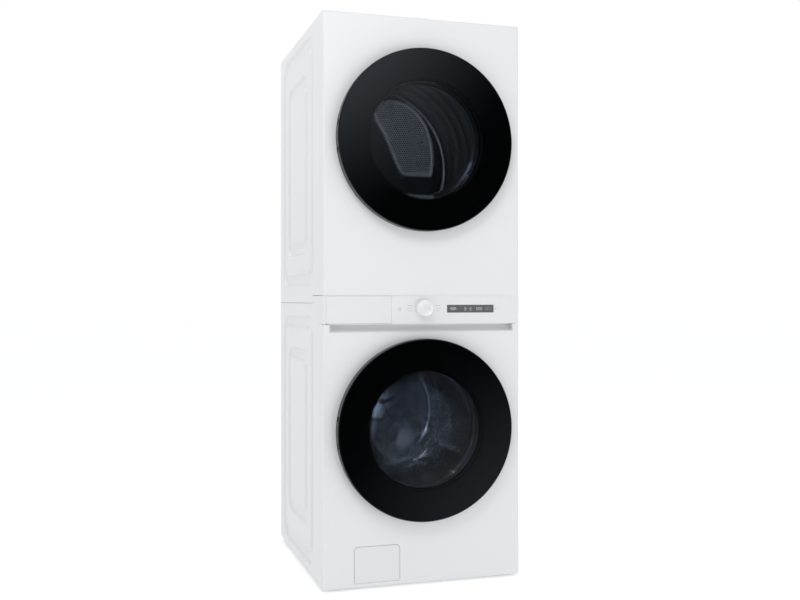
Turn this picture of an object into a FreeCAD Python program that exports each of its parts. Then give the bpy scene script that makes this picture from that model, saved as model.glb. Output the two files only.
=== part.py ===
import FreeCAD, Part
import math
import os

# Front-loading washer with a dryer stacked on it, one shared console between the two doors.
# Millimetres. +Z is up, the doors face -Y, the origin is on the floor at the middle of the footprint.

V = FreeCAD.Vector

# Driving dimensions
WIDTH = 686.0            # 27 inch class cabinet
HALF = WIDTH / 2
HEIGHT = 1890.0
CABINET_DEPTH = 770.0    # front face to rear cover
FRONT_Y = -375.0         # Y of the front face
DOOR_PROUD = 38.0        # doors stand this far in front of the face
PORT_PROUD = 18.0        # rear ports stand this far behind the cabinet
SHEET = 1.0              # steel sheet
SEAM = 1.2               # gap between neighbouring outer panels
FLANGE = 56.0            # depth of the front panels' side flanges
WALL = 2.5               # moulded plastic wall

# Heights of the outer panels
SIDE_BOTTOM = 20.0
FRONT_BOTTOM = 12.0
GRIP_BOTTOM = 845.0
GRIP_TOP = 871.0
CONSOLE_TOP = 965.0
REAR_STEP = 940.0        # the cabinets' side seam steps down to here
STEP_DEPTH = 160.0       # depth at which that seam steps
GRIP_HALF = 322.0
GRIP_DEPTH = 30.0

# Doors
WASHER_Z = 520.0
DRYER_Z = 1480.0
DOOR_R = 302.0
WINDOW_R = 200.0
MOUTH_R = 212.0          # opening in the front panel
DISH_R = 256.0           # outer edge of the formed dish round the opening
DISH_DEPTH = 18.0
HINGE_X = -290.0
HINGE_DEPTH = -21.5
PIN_R = 3.0
PIN_FIT = 0.05
ARM_NEAR = 38.0          # hinge arms, above and below the door's middle
ARM_FAR = 52.0
LATCH_X = 264.0

# Washer drum and tub
TUB_OUT = 288.0
TUB_IN = 284.0
TUB_FRONT = 82.0
TUB_SPLIT = 350.0
TUB_BACK = 618.0
DRUM_R = 270.0
DRUM_FRONT = 98.0
DRUM_BACK = 600.0
DRUM_SKIN = 1.2
DRUM_MOUTH_R = 205.0
SHAFT_R = 15.0

# Dryer drum and drive
DRY_R = 315.0
DRY_FRONT = 60.0
DRY_BACK = 690.0
ROLLER_R = 38.0
ROLLER_GAP = 0.3
ROLLER_ANGLE = 32.0
AXLE_R = 6.0
MOTOR_X = -150.0
MOTOR_Z = 1070.0
PULLEY_R = 9.2
IDLER_X = -62.0
IDLER_Z = 1092.0
IDLER_R = 22.0
BELT_FRONT = 370.0
BELT_WIDTH = 12.0
BELT_THICK = 2.0
BELT_GAP = 0.3

# Drawer, console and access flap
DRAWER_X = (-332.0, -113.0)
DRAWER_Z = (873.0, 963.0)
KNOB_Z = 923.0
KNOB_R = 29.0
KNOB_PROUD = 24.0
DISPLAY_X = (82.0, 250.0)
DISPLAY_Z = (908.0, 934.0)
KEY_R = 6.0
POWER_X = -84.0
START_X = 258.0
KEY_Z = 921.0
FLAP_X = (-238.0, -84.0)
FLAP_Z = (24.0, 142.0)
FLAP_CORNER = 12.0
FLAP_AXIS_Z = 29.6
FLAP_AXIS_DEPTH = 6.0
FLAP_PIN_R = 1.8

# Feet and rear ports
FOOT_X = 290.0
FOOT_DEPTHS = {"front": 70.0, "rear": 700.0}
FOOT_STEM_R = 5.0
FILTER_X = -161.0
FILTER_Z = 84.0
EXHAUST_X = 0.0
EXHAUST_Z = 1045.0
EXHAUST_R = 50.0
INLET_XS = (-290.0, -240.0)
INLET_Z = 885.0
INLET_R = 13.2
DRAIN_X = -255.0
DRAIN_Z = 790.0
DRAIN_R = 12.5
GLAND_X = 235.0
GLAND_Z = 1015.0
GLAND_R = 10.0


# ---------------------------------------------------------------- shapes

def deep(depth):
    """Y of a point this far behind the front face."""
    return FRONT_Y + depth


def block(xs, depths, zs):
    size = (xs[1] - xs[0], depths[1] - depths[0], zs[1] - zs[0])
    return Part.makeBox(*size, V(xs[0], deep(depths[0]), zs[0]))


def rod(x, z, radius, depths):
    """Round bar along Y."""
    return Part.makeCylinder(radius, depths[1] - depths[0], V(x, deep(depths[0]), z), V(0, 1, 0))


def tube(x, z, outer, inner, depths):
    longer = (depths[0] - 1, depths[1] + 1)
    return rod(x, z, outer, depths).cut(rod(x, z, inner, longer))


def post(x, depth, radius, zs):
    """Round bar along Z."""
    return Part.makeCylinder(radius, zs[1] - zs[0], V(x, deep(depth), zs[0]), V(0, 0, 1))


def bar(xs, depth, z, radius):
    """Round bar along X."""
    return Part.makeCylinder(radius, xs[1] - xs[0], V(xs[0], deep(depth), z), V(1, 0, 0))


def turned(profile, x, z):
    """Closed (radius, depth) outline spun about the Y-parallel axis through x, z."""
    points = [V(x + radius, deep(depth), z) for radius, depth in profile]
    face = Part.Face(Part.makePolygon(points + points[:1]))
    return face.revolve(V(x, 0, z), V(0, 1, 0), 360)


def turned_upright(profile, x, depth):
    """Closed (radius, z) outline spun about the vertical axis at x, depth."""
    points = [V(x + radius, deep(depth), z) for radius, z in profile]
    face = Part.Face(Part.makePolygon(points + points[:1]))
    return face.revolve(V(x, deep(depth), 0), V(0, 0, 1), 360)


def side_outline(points, xs):
    """Closed (depth, z) outline extruded along X."""
    corners = [V(xs[0], deep(depth), z) for depth, z in points]
    face = Part.Face(Part.makePolygon(corners + corners[:1]))
    return face.extrude(V(xs[1] - xs[0], 0, 0))


def rounded_wire(a_span, b_span, radius, place):
    """Rounded rectangle; place(a, b) puts a point of it in space."""
    a0, a1 = a_span
    b0, b1 = b_span
    cut = radius * (1 - math.sqrt(0.5))
    stops = [
        ((a0 + radius, b0), (a1 - radius, b0), (a1 - cut, b0 + cut)),
        ((a1, b0 + radius), (a1, b1 - radius), (a1 - cut, b1 - cut)),
        ((a1 - radius, b1), (a0 + radius, b1), (a0 + cut, b1 - cut)),
        ((a0, b1 - radius), (a0, b0 + radius), (a0 + cut, b0 + cut)),
    ]
    edges = []
    for index, (start, end, corner) in enumerate(stops):
        following = stops[(index + 1) % 4][0]
        edges.append(Part.LineSegment(place(*start), place(*end)).toShape())
        edges.append(Part.Arc(place(*end), place(*corner), place(*following)).toShape())
    return Part.Wire(edges)


def rounded_plate(xs, zs, radius, depths):
    wire = rounded_wire(xs, zs, radius, lambda a, b: V(a, deep(depths[0]), b))
    return Part.Face(wire).extrude(V(0, depths[1] - depths[0], 0))


def fused(first, *others):
    return first.fuse(list(others)).removeSplitter()


def mirrored(shape):
    return shape.mirror(V(0, 0, 0), V(1, 0, 0))


def both_sides(shape):
    return [shape, mirrored(shape)]


def spun(shape, degrees, z):
    """A copy turned about the drum axis at height z."""
    copy = shape.copy()
    copy.rotate(V(0, 0, z), V(0, 1, 0), degrees)
    return copy


def rounded_edges(shape, radius, wanted):
    """Fillet the edges whose middle point passes the test wanted(x, depth, z, edge)."""
    chosen = []
    for edge in shape.Edges:
        middle = edge.CenterOfMass
        if wanted(middle.x, middle.y - FRONT_Y, middle.z, edge):
            chosen.append(edge)
    return shape.makeFillet(radius, chosen)


def upright(edge):
    return edge.BoundBox.ZLength > 10 and edge.BoundBox.XLength < 1e-6 and edge.BoundBox.YLength < 1e-6


# ---------------------------------------------------------------- outer cabinet

GROOVE_DEPTH = 8.0
GROOVE_DEPTHS = ((150.0, 711.0), (199.0, 661.0), (249.0, 611.0), (299.0, 561.0))
GROOVE_CORNERS = (80.0, 42.0, 60.0, 26.0)


def pressed_frustum(depths, zs, corner, inset, thickness):
    """Rounded block on the left side plane whose outline moves in by inset over its thickness."""
    near = rounded_wire(depths, zs, corner, lambda a, b: V(-HALF, deep(a), b))
    far_depths = (depths[0] + inset, depths[1] - inset)
    far_zs = (zs[0] + inset, zs[1] - inset)
    far = rounded_wire(far_depths, far_zs, corner - inset, lambda a, b: V(-HALF + thickness, deep(a), b))
    return Part.makeLoft([near, far], True, True)


def grown(span, amount):
    return (span[0] - amount, span[1] + amount)


def pressed_groove(z_spans, first, spread, thickness):
    """Ring-shaped groove between outlines first and first + 1, with 45 degree walls."""
    outer = pressed_frustum(grown(GROOVE_DEPTHS[first], spread), grown(z_spans[first], spread),
                            GROOVE_CORNERS[first] + spread, thickness, thickness)
    inner = pressed_frustum(grown(GROOVE_DEPTHS[first + 1], -spread), grown(z_spans[first + 1], -spread),
                            GROOVE_CORNERS[first + 1] - spread, -thickness, thickness)
    return outer.cut(inner)


def side_panel(outline, z_spans):
    """Left side sheet with two pressed ring grooves, a joggled front edge and a rear return."""
    wall_offset = SHEET * math.sqrt(2)
    panel = side_outline(outline, (-HALF, -HALF + SHEET))
    for first in (0, 2):
        panel = panel.fuse(pressed_groove(z_spans, first, wall_offset, GROOVE_DEPTH + SHEET))
    for first in (0, 2):
        panel = panel.cut(pressed_groove(z_spans, first, 0.0, GROOVE_DEPTH))
    front_zs = (outline[0][1] + 2, outline[-1][1] - 3)
    rear_zs = (min(z for _, z in outline), max(z for d, z in outline if d > STEP_DEPTH))
    joggle = block((-HALF, -HALF + 2.5), (FLANGE + SEAM, FLANGE + 4), front_zs)
    tongue = block((-HALF + 1.5, -HALF + 2.5), (25, FLANGE + 4), front_zs)
    front_return = block((-HALF + 1.5, -HALF + 14), (25, 25 + SHEET), front_zs)
    rear_return = block((-HALF, -HALF + 20), (CABINET_DEPTH - 3, CABINET_DEPTH - 2), rear_zs)
    return fused(panel, joggle, tongue, front_return, rear_return)


def washer_cabinet():
    start = FLANGE + SEAM
    step = STEP_DEPTH
    low_top = REAR_STEP - SEAM
    outline = [(start, SIDE_BOTTOM), (CABINET_DEPTH, SIDE_BOTTOM), (CABINET_DEPTH, low_top),
               (step, low_top), (step, CONSOLE_TOP - SEAM), (start, CONSOLE_TOP - SEAM)]
    side = side_panel(outline, ((38.0, 897.0), (88.0, 847.0), (160.0, 778.0), (210.0, 729.0)))
    inside = HALF - 3.0
    rear_brace = block((-inside, inside), (700, 760), (918, 920))
    front_brace = block((-inside, inside), (345, 385), (962, 964))
    hanger = block((-inside, -215), (382, 418), (898, 901))
    return Part.makeCompound(both_sides(side) + [rear_brace, front_brace] + both_sides(hanger))


def dryer_cabinet():
    start = FLANGE + SEAM
    step = STEP_DEPTH + SEAM
    top = HEIGHT - SHEET - 0.5
    outline = [(start, CONSOLE_TOP + 0.4), (step, CONSOLE_TOP + 0.4), (step, REAR_STEP),
               (CABINET_DEPTH, REAR_STEP), (CABINET_DEPTH, top), (start, top)]
    side = side_panel(outline, ((997.0, 1860.0), (1047.0, 1810.0), (1107.0, 1743.0), (1160.0, 1693.0)))
    inside = HALF - 3.0
    braces = [block((-inside, inside), depths, (1885, 1887)) for depths in ((60, 100), (705, 760))]
    return Part.makeCompound(both_sides(side) + braces)


def top_cover():
    outline = rounded_plate((-HALF, HALF), (0, 10), 4.9, (FLANGE + SEAM, CABINET_DEPTH))
    top = block((-HALF, HALF), (FLANGE + SEAM, CABINET_DEPTH), (HEIGHT - SHEET, HEIGHT))
    top = top.common(outline.translated(V(0, 0, HEIGHT - 10)).fuse(
        block((-HALF + 5, HALF - 5), (FLANGE, CABINET_DEPTH), (HEIGHT - 5, HEIGHT))))
    rib = block((-260, 260), (0, 14), (HEIGHT - 7, HEIGHT - SHEET))
    ribs = [rib.translated(V(0, depth, 0)) for depth in (200, 400, 600)]
    return fused(top, *ribs)


def folded_front(zs, corner, roof):
    """Front sheet with side flanges; its upright edges, and the top one under a roof, are rounded."""
    def outer_edges(x, depth, z, edge):
        at_face = abs(depth) < 1e-6
        return at_face and (upright(edge) or (roof and abs(z - zs[1]) < 1e-6))

    def inner_edges(x, depth, z, edge):
        at_face = abs(depth - SHEET) < 1e-6
        return at_face and (upright(edge) or (roof and abs(z - zs[1] + SHEET) < 1e-6))

    outer = rounded_edges(block((-HALF, HALF), (0, FLANGE), zs), corner, outer_edges)
    top = zs[1] - SHEET if roof else zs[1] + 1
    hollow = block((-HALF + SHEET, HALF - SHEET), (SHEET, FLANGE + 1), (zs[0] + SHEET, top))
    hollow = rounded_edges(hollow, corner - SHEET, inner_edges)
    lower_lip = block((-HALF + 3, HALF - 3), (24, FLANGE + 1), (zs[0] - 1, zs[0] + SHEET + 1))
    return outer.cut(hollow).cut(lower_lip)


def mouth_dish(z):
    """Formed dish that leads in to a door opening."""
    flat = DISH_DEPTH
    inner = 228.0
    return turned([(DISH_R, 0), (DISH_R - SHEET, 0), (inner, flat), (MOUTH_R, flat), (MOUTH_R, flat + SHEET),
                   (inner + 0.4, flat + SHEET), (DISH_R - 0.4, SHEET), (DISH_R, SHEET)], 0, z)


def with_mouth(panel, z):
    """Cut the door opening and the latch slot, and add the dish."""
    latch_slot = rounded_plate((LATCH_X - 5.5, LATCH_X + 9), (z - 16, z + 16), 3, (-1, 5))
    panel = panel.cut(rod(0, z, DISH_R, (-1, 5))).cut(latch_slot)
    return fused(panel, mouth_dish(z))


def flap_plate(gap, depths):
    """Plate of the access flap, or its hole: round upper corners, square lower ones."""
    xs = grown(FLAP_X, gap)
    zs = grown(FLAP_Z, gap)
    square_part = block(xs, depths, (zs[0], zs[0] + 2 * FLAP_CORNER))
    return fused(rounded_plate(xs, zs, FLAP_CORNER + gap, depths), square_part)


def washer_front_panel():
    panel = folded_front((FRONT_BOTTOM, GRIP_TOP - SEAM / 2), 4.0, False)
    grip_gap = block((-GRIP_HALF, GRIP_HALF), (-1, FLANGE + 1), (GRIP_BOTTOM, GRIP_TOP + 5))
    upper_lip = block((-GRIP_HALF, GRIP_HALF), (0, 22), (GRIP_BOTTOM - SHEET, GRIP_BOTTOM))
    panel = fused(panel.cut(grip_gap), upper_lip)
    return with_mouth(panel, WASHER_Z).cut(flap_plate(SEAM, (-1, 5)))


def dryer_front_panel():
    panel = folded_front((CONSOLE_TOP + 0.4, HEIGHT), 8.0, True)
    return with_mouth(panel, DRYER_Z)


def grip_channel():
    """Long finger trough under the console, closed at both ends."""
    top = GRIP_TOP + SEAM / 2
    shell = block((-GRIP_HALF + 0.6, GRIP_HALF - 0.6), (0, GRIP_DEPTH + 2), (GRIP_BOTTOM + 0.6, top))
    x0 = -GRIP_HALF + 2.6
    floor = GRIP_BOTTOM + 2.2
    roof = top - 1.2

    def at(depth, z):
        return V(x0, deep(depth), z)

    edges = [
        Part.LineSegment(at(-1, floor), at(3, floor)).toShape(),
        Part.Arc(at(3, floor), at(21, floor + 7), at(GRIP_DEPTH, roof - 3)).toShape(),
        Part.LineSegment(at(GRIP_DEPTH, roof - 3), at(GRIP_DEPTH, roof)).toShape(),
        Part.LineSegment(at(GRIP_DEPTH, roof), at(-1, roof)).toShape(),
        Part.LineSegment(at(-1, roof), at(-1, floor)).toShape(),
    ]
    trough = Part.Face(Part.Wire(edges)).extrude(V(-2 * x0, 0, 0))
    return shell.cut(trough)


def console_panel():
    """Moulded console face with the drawer opening, knob bush, key holes and display window."""
    zs = (GRIP_TOP + SEAM / 2, CONSOLE_TOP - SEAM / 2)
    outer = rounded_edges(block((-HALF, HALF), (0, FLANGE), zs), 4.0,
                          lambda x, depth, z, edge: abs(depth) < 1e-6 and upright(edge))
    side_wall = 1.2
    hollow = block((-HALF + side_wall, HALF - side_wall), (WALL, FLANGE + 1), (zs[0] - 1, zs[1] - WALL))
    console = outer.cut(hollow)
    drawer_gap = block(grown(DRAWER_X, 1.0), (-1, FLANGE + 1), grown(DRAWER_Z, 0.9))
    console = console.cut(drawer_gap)
    strip = rounded_plate(grown(DISPLAY_X, 0.2), grown(DISPLAY_Z, 0.2), 2.2, (-1, 5))
    console = console.cut(strip)
    for x in (POWER_X, START_X):
        console = console.cut(rod(x, KEY_Z, KEY_R + 0.35, (-1, 8)))
    console = fused(console, rod(0, KNOB_Z, 8, (WALL - 0.5, 12)), grip_channel())
    return console.cut(rod(0, KNOB_Z, PIN_R + PIN_FIT, (-1, 20)))


def display_module():
    """Smoked display strip on its circuit board, which also carries the key switches."""
    strip = rounded_plate(DISPLAY_X, DISPLAY_Z, 2.0, (-0.2, 4))
    board = block((-108, 302), (16, 17.6), (886, 956))
    carrier = block((DISPLAY_X[0] + 4, DISPLAY_X[1] - 4), (4, 16), (DISPLAY_Z[0] + 3, DISPLAY_Z[1] - 3))
    switches = [block((x - 3, x + 3), (9.5, 16), (KEY_Z - 3, KEY_Z + 3)) for x in (POWER_X, START_X)]
    encoder = block((-9, 9), (13.5, 16), (KNOB_Z - 9, KNOB_Z + 9))
    return fused(strip, carrier, board, encoder, *switches)


def rear_field(zs, field_zs):
    """Rear sheet with a raised middle field."""
    margin = 70.0
    sheet = block((-HALF + 2, HALF - 2), (CABINET_DEPTH - 1.8, CABINET_DEPTH - 0.6), zs)
    field_xs = (-HALF + margin, HALF - margin)
    raised = rounded_plate(field_xs, field_zs, 40, (CABINET_DEPTH - 0.6, CABINET_DEPTH + 3))
    hollow = rounded_plate(grown(field_xs, -SHEET), grown(field_zs, -SHEET), 39,
                           (CABINET_DEPTH - 3, CABINET_DEPTH + 2))
    return fused(sheet, raised).cut(hollow)


def terminal_box():
    """Cover over the mains terminals, with the gland that the supply cord enters by."""
    back = CABINET_DEPTH - 0.6
    xs = (GLAND_X - 35, GLAND_X + 35)
    zs = (GLAND_Z - 32, GLAND_Z + 32)
    shell = rounded_plate(xs, zs, 6, (back, back + 12)).cut(rounded_plate(grown(xs, -2), grown(zs, -2), 4,
                                                                         (back - 1, back + 10)))
    end = CABINET_DEPTH + PORT_PROUD
    shell = fused(shell, rod(GLAND_X, GLAND_Z, GLAND_R + 5, (end - 12, end)))
    return shell.cut(rod(GLAND_X, GLAND_Z, GLAND_R, (back + 1, end + 1)))


def rear_covers():
    washer = rear_field((24.0, REAR_STEP - 3), (130.0, DRAIN_Z - 50))
    for x in INLET_XS:
        washer = washer.cut(rod(x, INLET_Z, INLET_R + 1.8, (CABINET_DEPTH - 5, CABINET_DEPTH + 5)))
    washer = washer.cut(rod(DRAIN_X, DRAIN_Z, 14, (CABINET_DEPTH - 5, CABINET_DEPTH + 5)))
    dryer = rear_field((REAR_STEP + 3, HEIGHT - 3), (EXHAUST_Z + 110, HEIGHT - 110))
    dryer = dryer.cut(rod(EXHAUST_X, EXHAUST_Z, EXHAUST_R + 2.5, (CABINET_DEPTH - 5, CABINET_DEPTH + 5)))
    return Part.makeCompound([washer, dryer, terminal_box()])


def base_pan(z, foot_holes):
    """Shallow steel tray that closes the bottom of a cabinet."""
    skin = 1.5
    lip = 22.0
    inside = HALF - GROOVE_DEPTH - 3
    floor = block((-HALF + 3, HALF - 3), (28, CABINET_DEPTH - 4), (z, z + skin))
    lip_xs = (-inside, inside)
    lip_depths = (62.0, CABINET_DEPTH - 6)
    hollow = block(grown(lip_xs, -skin), grown(lip_depths, -skin), (z - 1, z + lip + 1))
    tray = floor.fuse(block(lip_xs, lip_depths, (z, z + lip)).cut(hollow))
    if not foot_holes:
        return tray.removeSplitter()
    for x in (-FOOT_X, FOOT_X):
        for depth in FOOT_DEPTHS.values():
            tray = tray.fuse(post(x, depth, 16, (z, z + 26)))
            tray = tray.cut(post(x, depth, FOOT_STEM_R + PIN_FIT, (z - 1, z + 40)))
    return tray.removeSplitter()


def washer_base():
    tray = base_pan(SIDE_BOTTOM + 1, True)
    damper_seats = both_sides(block((-172, -128), (280, 320), (SIDE_BOTTOM + 2, 64)))
    return fused(tray, *damper_seats)


def dryer_deck():
    """Floor of the dryer, with the two rear brackets that lock it to the washer."""
    tray = base_pan(CONSOLE_TOP + 3, False)
    stack_bracket = block((-HALF + 2, -HALF + 42), (CABINET_DEPTH - 0.5, CABINET_DEPTH + 4), (916, 962))
    stack_bracket = rounded_edges(stack_bracket, 3, lambda x, depth, z, edge: edge.BoundBox.YLength > 1
                                  and edge.BoundBox.XLength < 1e-6)
    return Part.makeCompound([tray] + both_sides(stack_bracket))


def cabinet_screws():
    """Flanged screw heads round both rear covers."""
    screws = []
    for z in (60, 330, 600, 870, 985, 1270, 1560, 1850):
        for x in (-HALF + 12, HALF - 12):
            flange = rod(x, z, 5.5, (CABINET_DEPTH - 0.6, CABINET_DEPTH + 0.4))
            head = rod(x, z, 3.8, (CABINET_DEPTH + 0.4, CABINET_DEPTH + 3.4))
            screws.append(fused(flange, head))
    return Part.makeCompound(screws)


def levelling_foot(x, depth):
    """Rubber pad on a threaded stem with its lock nut."""
    return turned_upright([(0, 0), (21, 0), (22, 1), (22, 5), (13, 9), (10, 9), (10, 12), (5, 12), (5, 14),
                           (9.5, 14), (9.5, 19.5), (FOOT_STEM_R, 19.5), (FOOT_STEM_R, 75), (0, 75)], x, depth)


# ---------------------------------------------------------------- doors

def door_glass(z):
    face = -DOOR_PROUD
    outer = DOOR_R - 2.3
    return turned([(0, face), (outer - 1.2, face), (outer, face + 1.2), (outer, face + 3.8), (0, face + 3.8)], 0, z)


def in_rim(shape, z, radius):
    return shape.common(rod(0, z, radius, (-DOOR_PROUD, 5)))


def door_ring(z):
    """Black outer ring: rim, backing for the glass, hinge block and the finger pocket."""
    rim = DOOR_R
    seat = -DOOR_PROUD + 4
    back = seat + 2.5
    ring = turned([(WINDOW_R, seat), (rim - 2, seat), (rim - 2, seat - 3), (rim - 1.2, seat - 3.4), (rim, seat - 2),
                   (rim, -7), (rim - 3, -3), (rim - 4, -3), (rim - 4, back), (WINDOW_R + 3, back),
                   (WINDOW_R + 3, -9), (WINDOW_R, -9)], 0, z)
    knuckle = in_rim(block((-rim, -262), (back - 0.5, -3), (z - 37, z + 37)), z, rim - 3)
    grip = in_rim(block((270, rim), (back, -3), (z - 66, z + 66)), z, rim - 4)
    pocket = block((277, rim + 2), (-24, 0), (z - 58, z + 58))
    ring = fused(ring, knuckle)
    for side in (1, -1):
        near = z + side * (ARM_NEAR - 1)
        far = z + side * (ARM_FAR + 1.5)
        ring = ring.cut(block((-rim - 2, -262), (-30.5, 0), (min(near, far), max(near, far))))
    ring = ring.cut(post(HINGE_X, HINGE_DEPTH, PIN_R + PIN_FIT, (z - 60, z + 60)))
    ring = ring.cut(block((-rim - 2, HINGE_X - 1), (-7, 0), (z - 60, z + 60)))
    return Part.makeCompound([ring.cut(pocket), grip.cut(pocket)])


def door_frame(z):
    """Inner frame that clamps the bowl or window, with the latch hook."""
    inner = WINDOW_R + 3.4
    outer = DOOR_R - 4.4
    frame = turned([(inner, -6), (outer, -6), (outer, -3), (224, -3), (222, 6), (214, 8), (inner + 3, 8),
                    (inner, 4)], 0, z)
    frame = frame.cut(block((-DOOR_R, -261), (-8, 0), (z - ARM_FAR - 1.5, z + ARM_FAR + 1.5)))
    frame = frame.cut(block((269.5, DOOR_R), (-8, 0), (z - 66.5, z + 66.5)))
    shank = block((LATCH_X - 2, LATCH_X + 2), (-5, 15), (z - 9, z + 9))
    tip = side_tip(z)
    return fused(frame, shank, tip)


def side_tip(z):
    """Sloped nose of the latch hook."""
    corners = [(LATCH_X + 1, 8), (LATCH_X + 5, 10), (LATCH_X + 2, 16), (LATCH_X - 2, 16), (LATCH_X - 2, 14)]
    points = [V(x, deep(depth), z - 9) for x, depth in corners]
    return Part.Face(Part.makePolygon(points + points[:1])).extrude(V(0, 0, 18))


def washer_door_bowl():
    """Deep glass bowl that closes the drum's mouth."""
    return turned([(203, -8), (203, -5), (200, -5), (192, 60), (170, 118), (150, 130), (0, 134),
                   (0, 130), (148, 126), (166, 115), (188, 59), (194, -8)], 0, WASHER_Z)


def dryer_door_window():
    return turned([(203, -8), (203, -5), (200, -5), (193, 16), (182, 22), (0, 24),
                   (0, 20), (180, 18), (189, 13), (195, -8)], 0, DRYER_Z)


def hinge_bracket(z):
    """Plate on the front panel with two arms and the pin that carries the door."""
    foot = -1.5
    plate = rounded_plate((HINGE_X + 2, HINGE_X + 28), (z - 62, z + 62), 5, (foot, 0))
    radius = 6.0
    reach = foot - HINGE_DEPTH

    def arm(near):
        eye = post(HINGE_X, HINGE_DEPTH, radius, (near, near + ARM_FAR - ARM_NEAR))
        outline = [(HINGE_X - radius, HINGE_DEPTH), (HINGE_X, HINGE_DEPTH - radius), (HINGE_X + radius, HINGE_DEPTH - 2),
                   (HINGE_X + 24, foot), (HINGE_X + 4, foot), (HINGE_X - radius, HINGE_DEPTH + 0.1 * reach)]
        points = [V(x, deep(depth), near) for x, depth in outline]
        web = Part.Face(Part.makePolygon(points + points[:1])).extrude(V(0, 0, ARM_FAR - ARM_NEAR))
        return eye.fuse(web)

    pin = post(HINGE_X, HINGE_DEPTH, PIN_R, (z - ARM_FAR, z + ARM_FAR))
    return fused(plate, arm(z + ARM_NEAR), arm(z - ARM_FAR), pin)


def door_hinges():
    return Part.makeCompound([hinge_bracket(WASHER_Z), hinge_bracket(DRYER_Z)])


def door_latches():
    """Washer door lock and dryer door catch behind the latch slots."""
    boxes = []
    for z in (WASHER_Z, DRYER_Z):
        body = block((LATCH_X - 6.5, LATCH_X + 34), (SHEET + 0.2, 40), (z - 38, z + 38))
        boxes.append(body.cut(block((LATCH_X - 5.5, LATCH_X + 9), (0, 30), (z - 16, z + 16))))
    return Part.makeCompound(boxes)


# ---------------------------------------------------------------- console pieces

def drawer_front():
    """Flush drawer front whose lower edge is pulled from the finger trough."""
    face = block(DRAWER_X, (0, WALL), DRAWER_Z)
    rib = block((DRAWER_X[0] + 6, DRAWER_X[1] - 6), (WALL - 0.5, 9), (DRAWER_Z[1] - 12, DRAWER_Z[1] - 9.5))
    pull = block((DRAWER_X[0] + 6, DRAWER_X[1] - 6), (WALL - 0.5, 14), (DRAWER_Z[0], DRAWER_Z[0] + 2))
    return fused(face, rib, pull)


TRAY_XS = (DRAWER_X[0] + 10, DRAWER_X[1] - 10)
TRAY_ZS = (882.0, 944.0)
TRAY_DEPTHS = (WALL, 300.0)


def drawer_tray():
    """Detergent tray: main wash, softener and a liquid cup, open at the top."""
    tray = block(TRAY_XS, TRAY_DEPTHS, TRAY_ZS)
    split = TRAY_XS[0] + 118
    front = TRAY_DEPTHS[0] + 3
    rear = TRAY_DEPTHS[1] - 2
    floor = TRAY_ZS[0] + 2
    pockets = [
        ((TRAY_XS[0] + 2, split), (front, 150.0)),
        ((TRAY_XS[0] + 2, split), (152.0, rear)),
        ((split + 2, TRAY_XS[1] - 2), (front, 190.0)),
        ((split + 2, TRAY_XS[1] - 2), (192.0, rear)),
    ]
    for xs, depths in pockets:
        tray = tray.cut(block(xs, depths, (floor, TRAY_ZS[1] + 1)))
    siphon_x = (split + TRAY_XS[1]) / 2
    return fused(tray, post(siphon_x, 240, 7, (floor - 1, floor + 34)))


def dispenser_housing():
    """Box that the drawer runs in, with its spout down to the tub."""
    xs = (TRAY_XS[0] - 4.5, TRAY_XS[1] + 4.5)
    zs = (TRAY_ZS[0] - 5.5, 958.0)
    shell = block(xs, (WALL + 15, 326), zs).cut(block(grown(xs, -2), (0, 324), grown(zs, -2)))
    spout = post(-150, 250, 20, (842, zs[0] + 2)).cut(post(-150, 250, 17, (840, zs[0] + 5)))
    shell = shell.cut(post(-150, 250, 17, (840, zs[0] + 4)))
    return fused(shell, spout)


def knob():
    """Selector knob: a bevelled cap on a short shaft."""
    face = -KNOB_PROUD
    return turned([(0, face + 0.6), (KNOB_R - 5, face + 0.6), (KNOB_R - 4, face), (KNOB_R - 1.5, face),
                   (KNOB_R, face + 1.5), (KNOB_R, -1), (PIN_R, -1), (PIN_R, 13), (0, 13)], 0, KNOB_Z)


def push_key(x):
    flange = KEY_R + 1.2
    return turned([(0, -0.6), (KEY_R - 0.6, -0.6), (KEY_R, 0), (KEY_R, 3.2), (flange, 3.2), (flange, 5),
                   (2.4, 5), (2.4, 8.4), (0, 8.4)], x, KEY_Z)


FLAP_EARS = (FLAP_X[0] + 20, FLAP_X[1] - 24)
EAR_WIDTH = 4.0


def filter_cover():
    """Access flap that turns down on two pins near its lower edge."""
    flap = flap_plate(0, (0, WALL))
    toe = block((FLAP_X[0] - 1, FLAP_X[1] + 1), (-1, 1.5), (FLAP_Z[0] - 1, FLAP_Z[0] + 1.5))
    flap = flap.cut(toe)
    ear_zs = (FLAP_AXIS_Z - 2.4, FLAP_AXIS_Z + 12)
    ears = [block((x, x + EAR_WIDTH), (WALL - 0.5, FLAP_AXIS_DEPTH + 2.4), ear_zs) for x in FLAP_EARS]
    left_pin = bar((FLAP_EARS[0] - 8, FLAP_EARS[0] + 1), FLAP_AXIS_DEPTH, FLAP_AXIS_Z, FLAP_PIN_R)
    right_end = FLAP_EARS[1] + EAR_WIDTH
    right_pin = bar((right_end - 1, right_end + 8), FLAP_AXIS_DEPTH, FLAP_AXIS_Z, FLAP_PIN_R)
    return fused(flap, left_pin, right_pin, *ears)


# ---------------------------------------------------------------- washer works

def door_gasket():
    """Folded rubber bellows between the front panel and the tub."""
    return turned([(207, 20.5), (238, 20.5), (238, 36.5), (217, 36.5), (217, 43), (238, 43), (238, 59), (222, 59),
                   (222, 73), (219, 73), (219, 56), (235, 56), (235, 46), (214, 46), (214, 33.5), (235, 33.5),
                   (235, 23.5), (207, 23.5)], 0, WASHER_Z)


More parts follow.
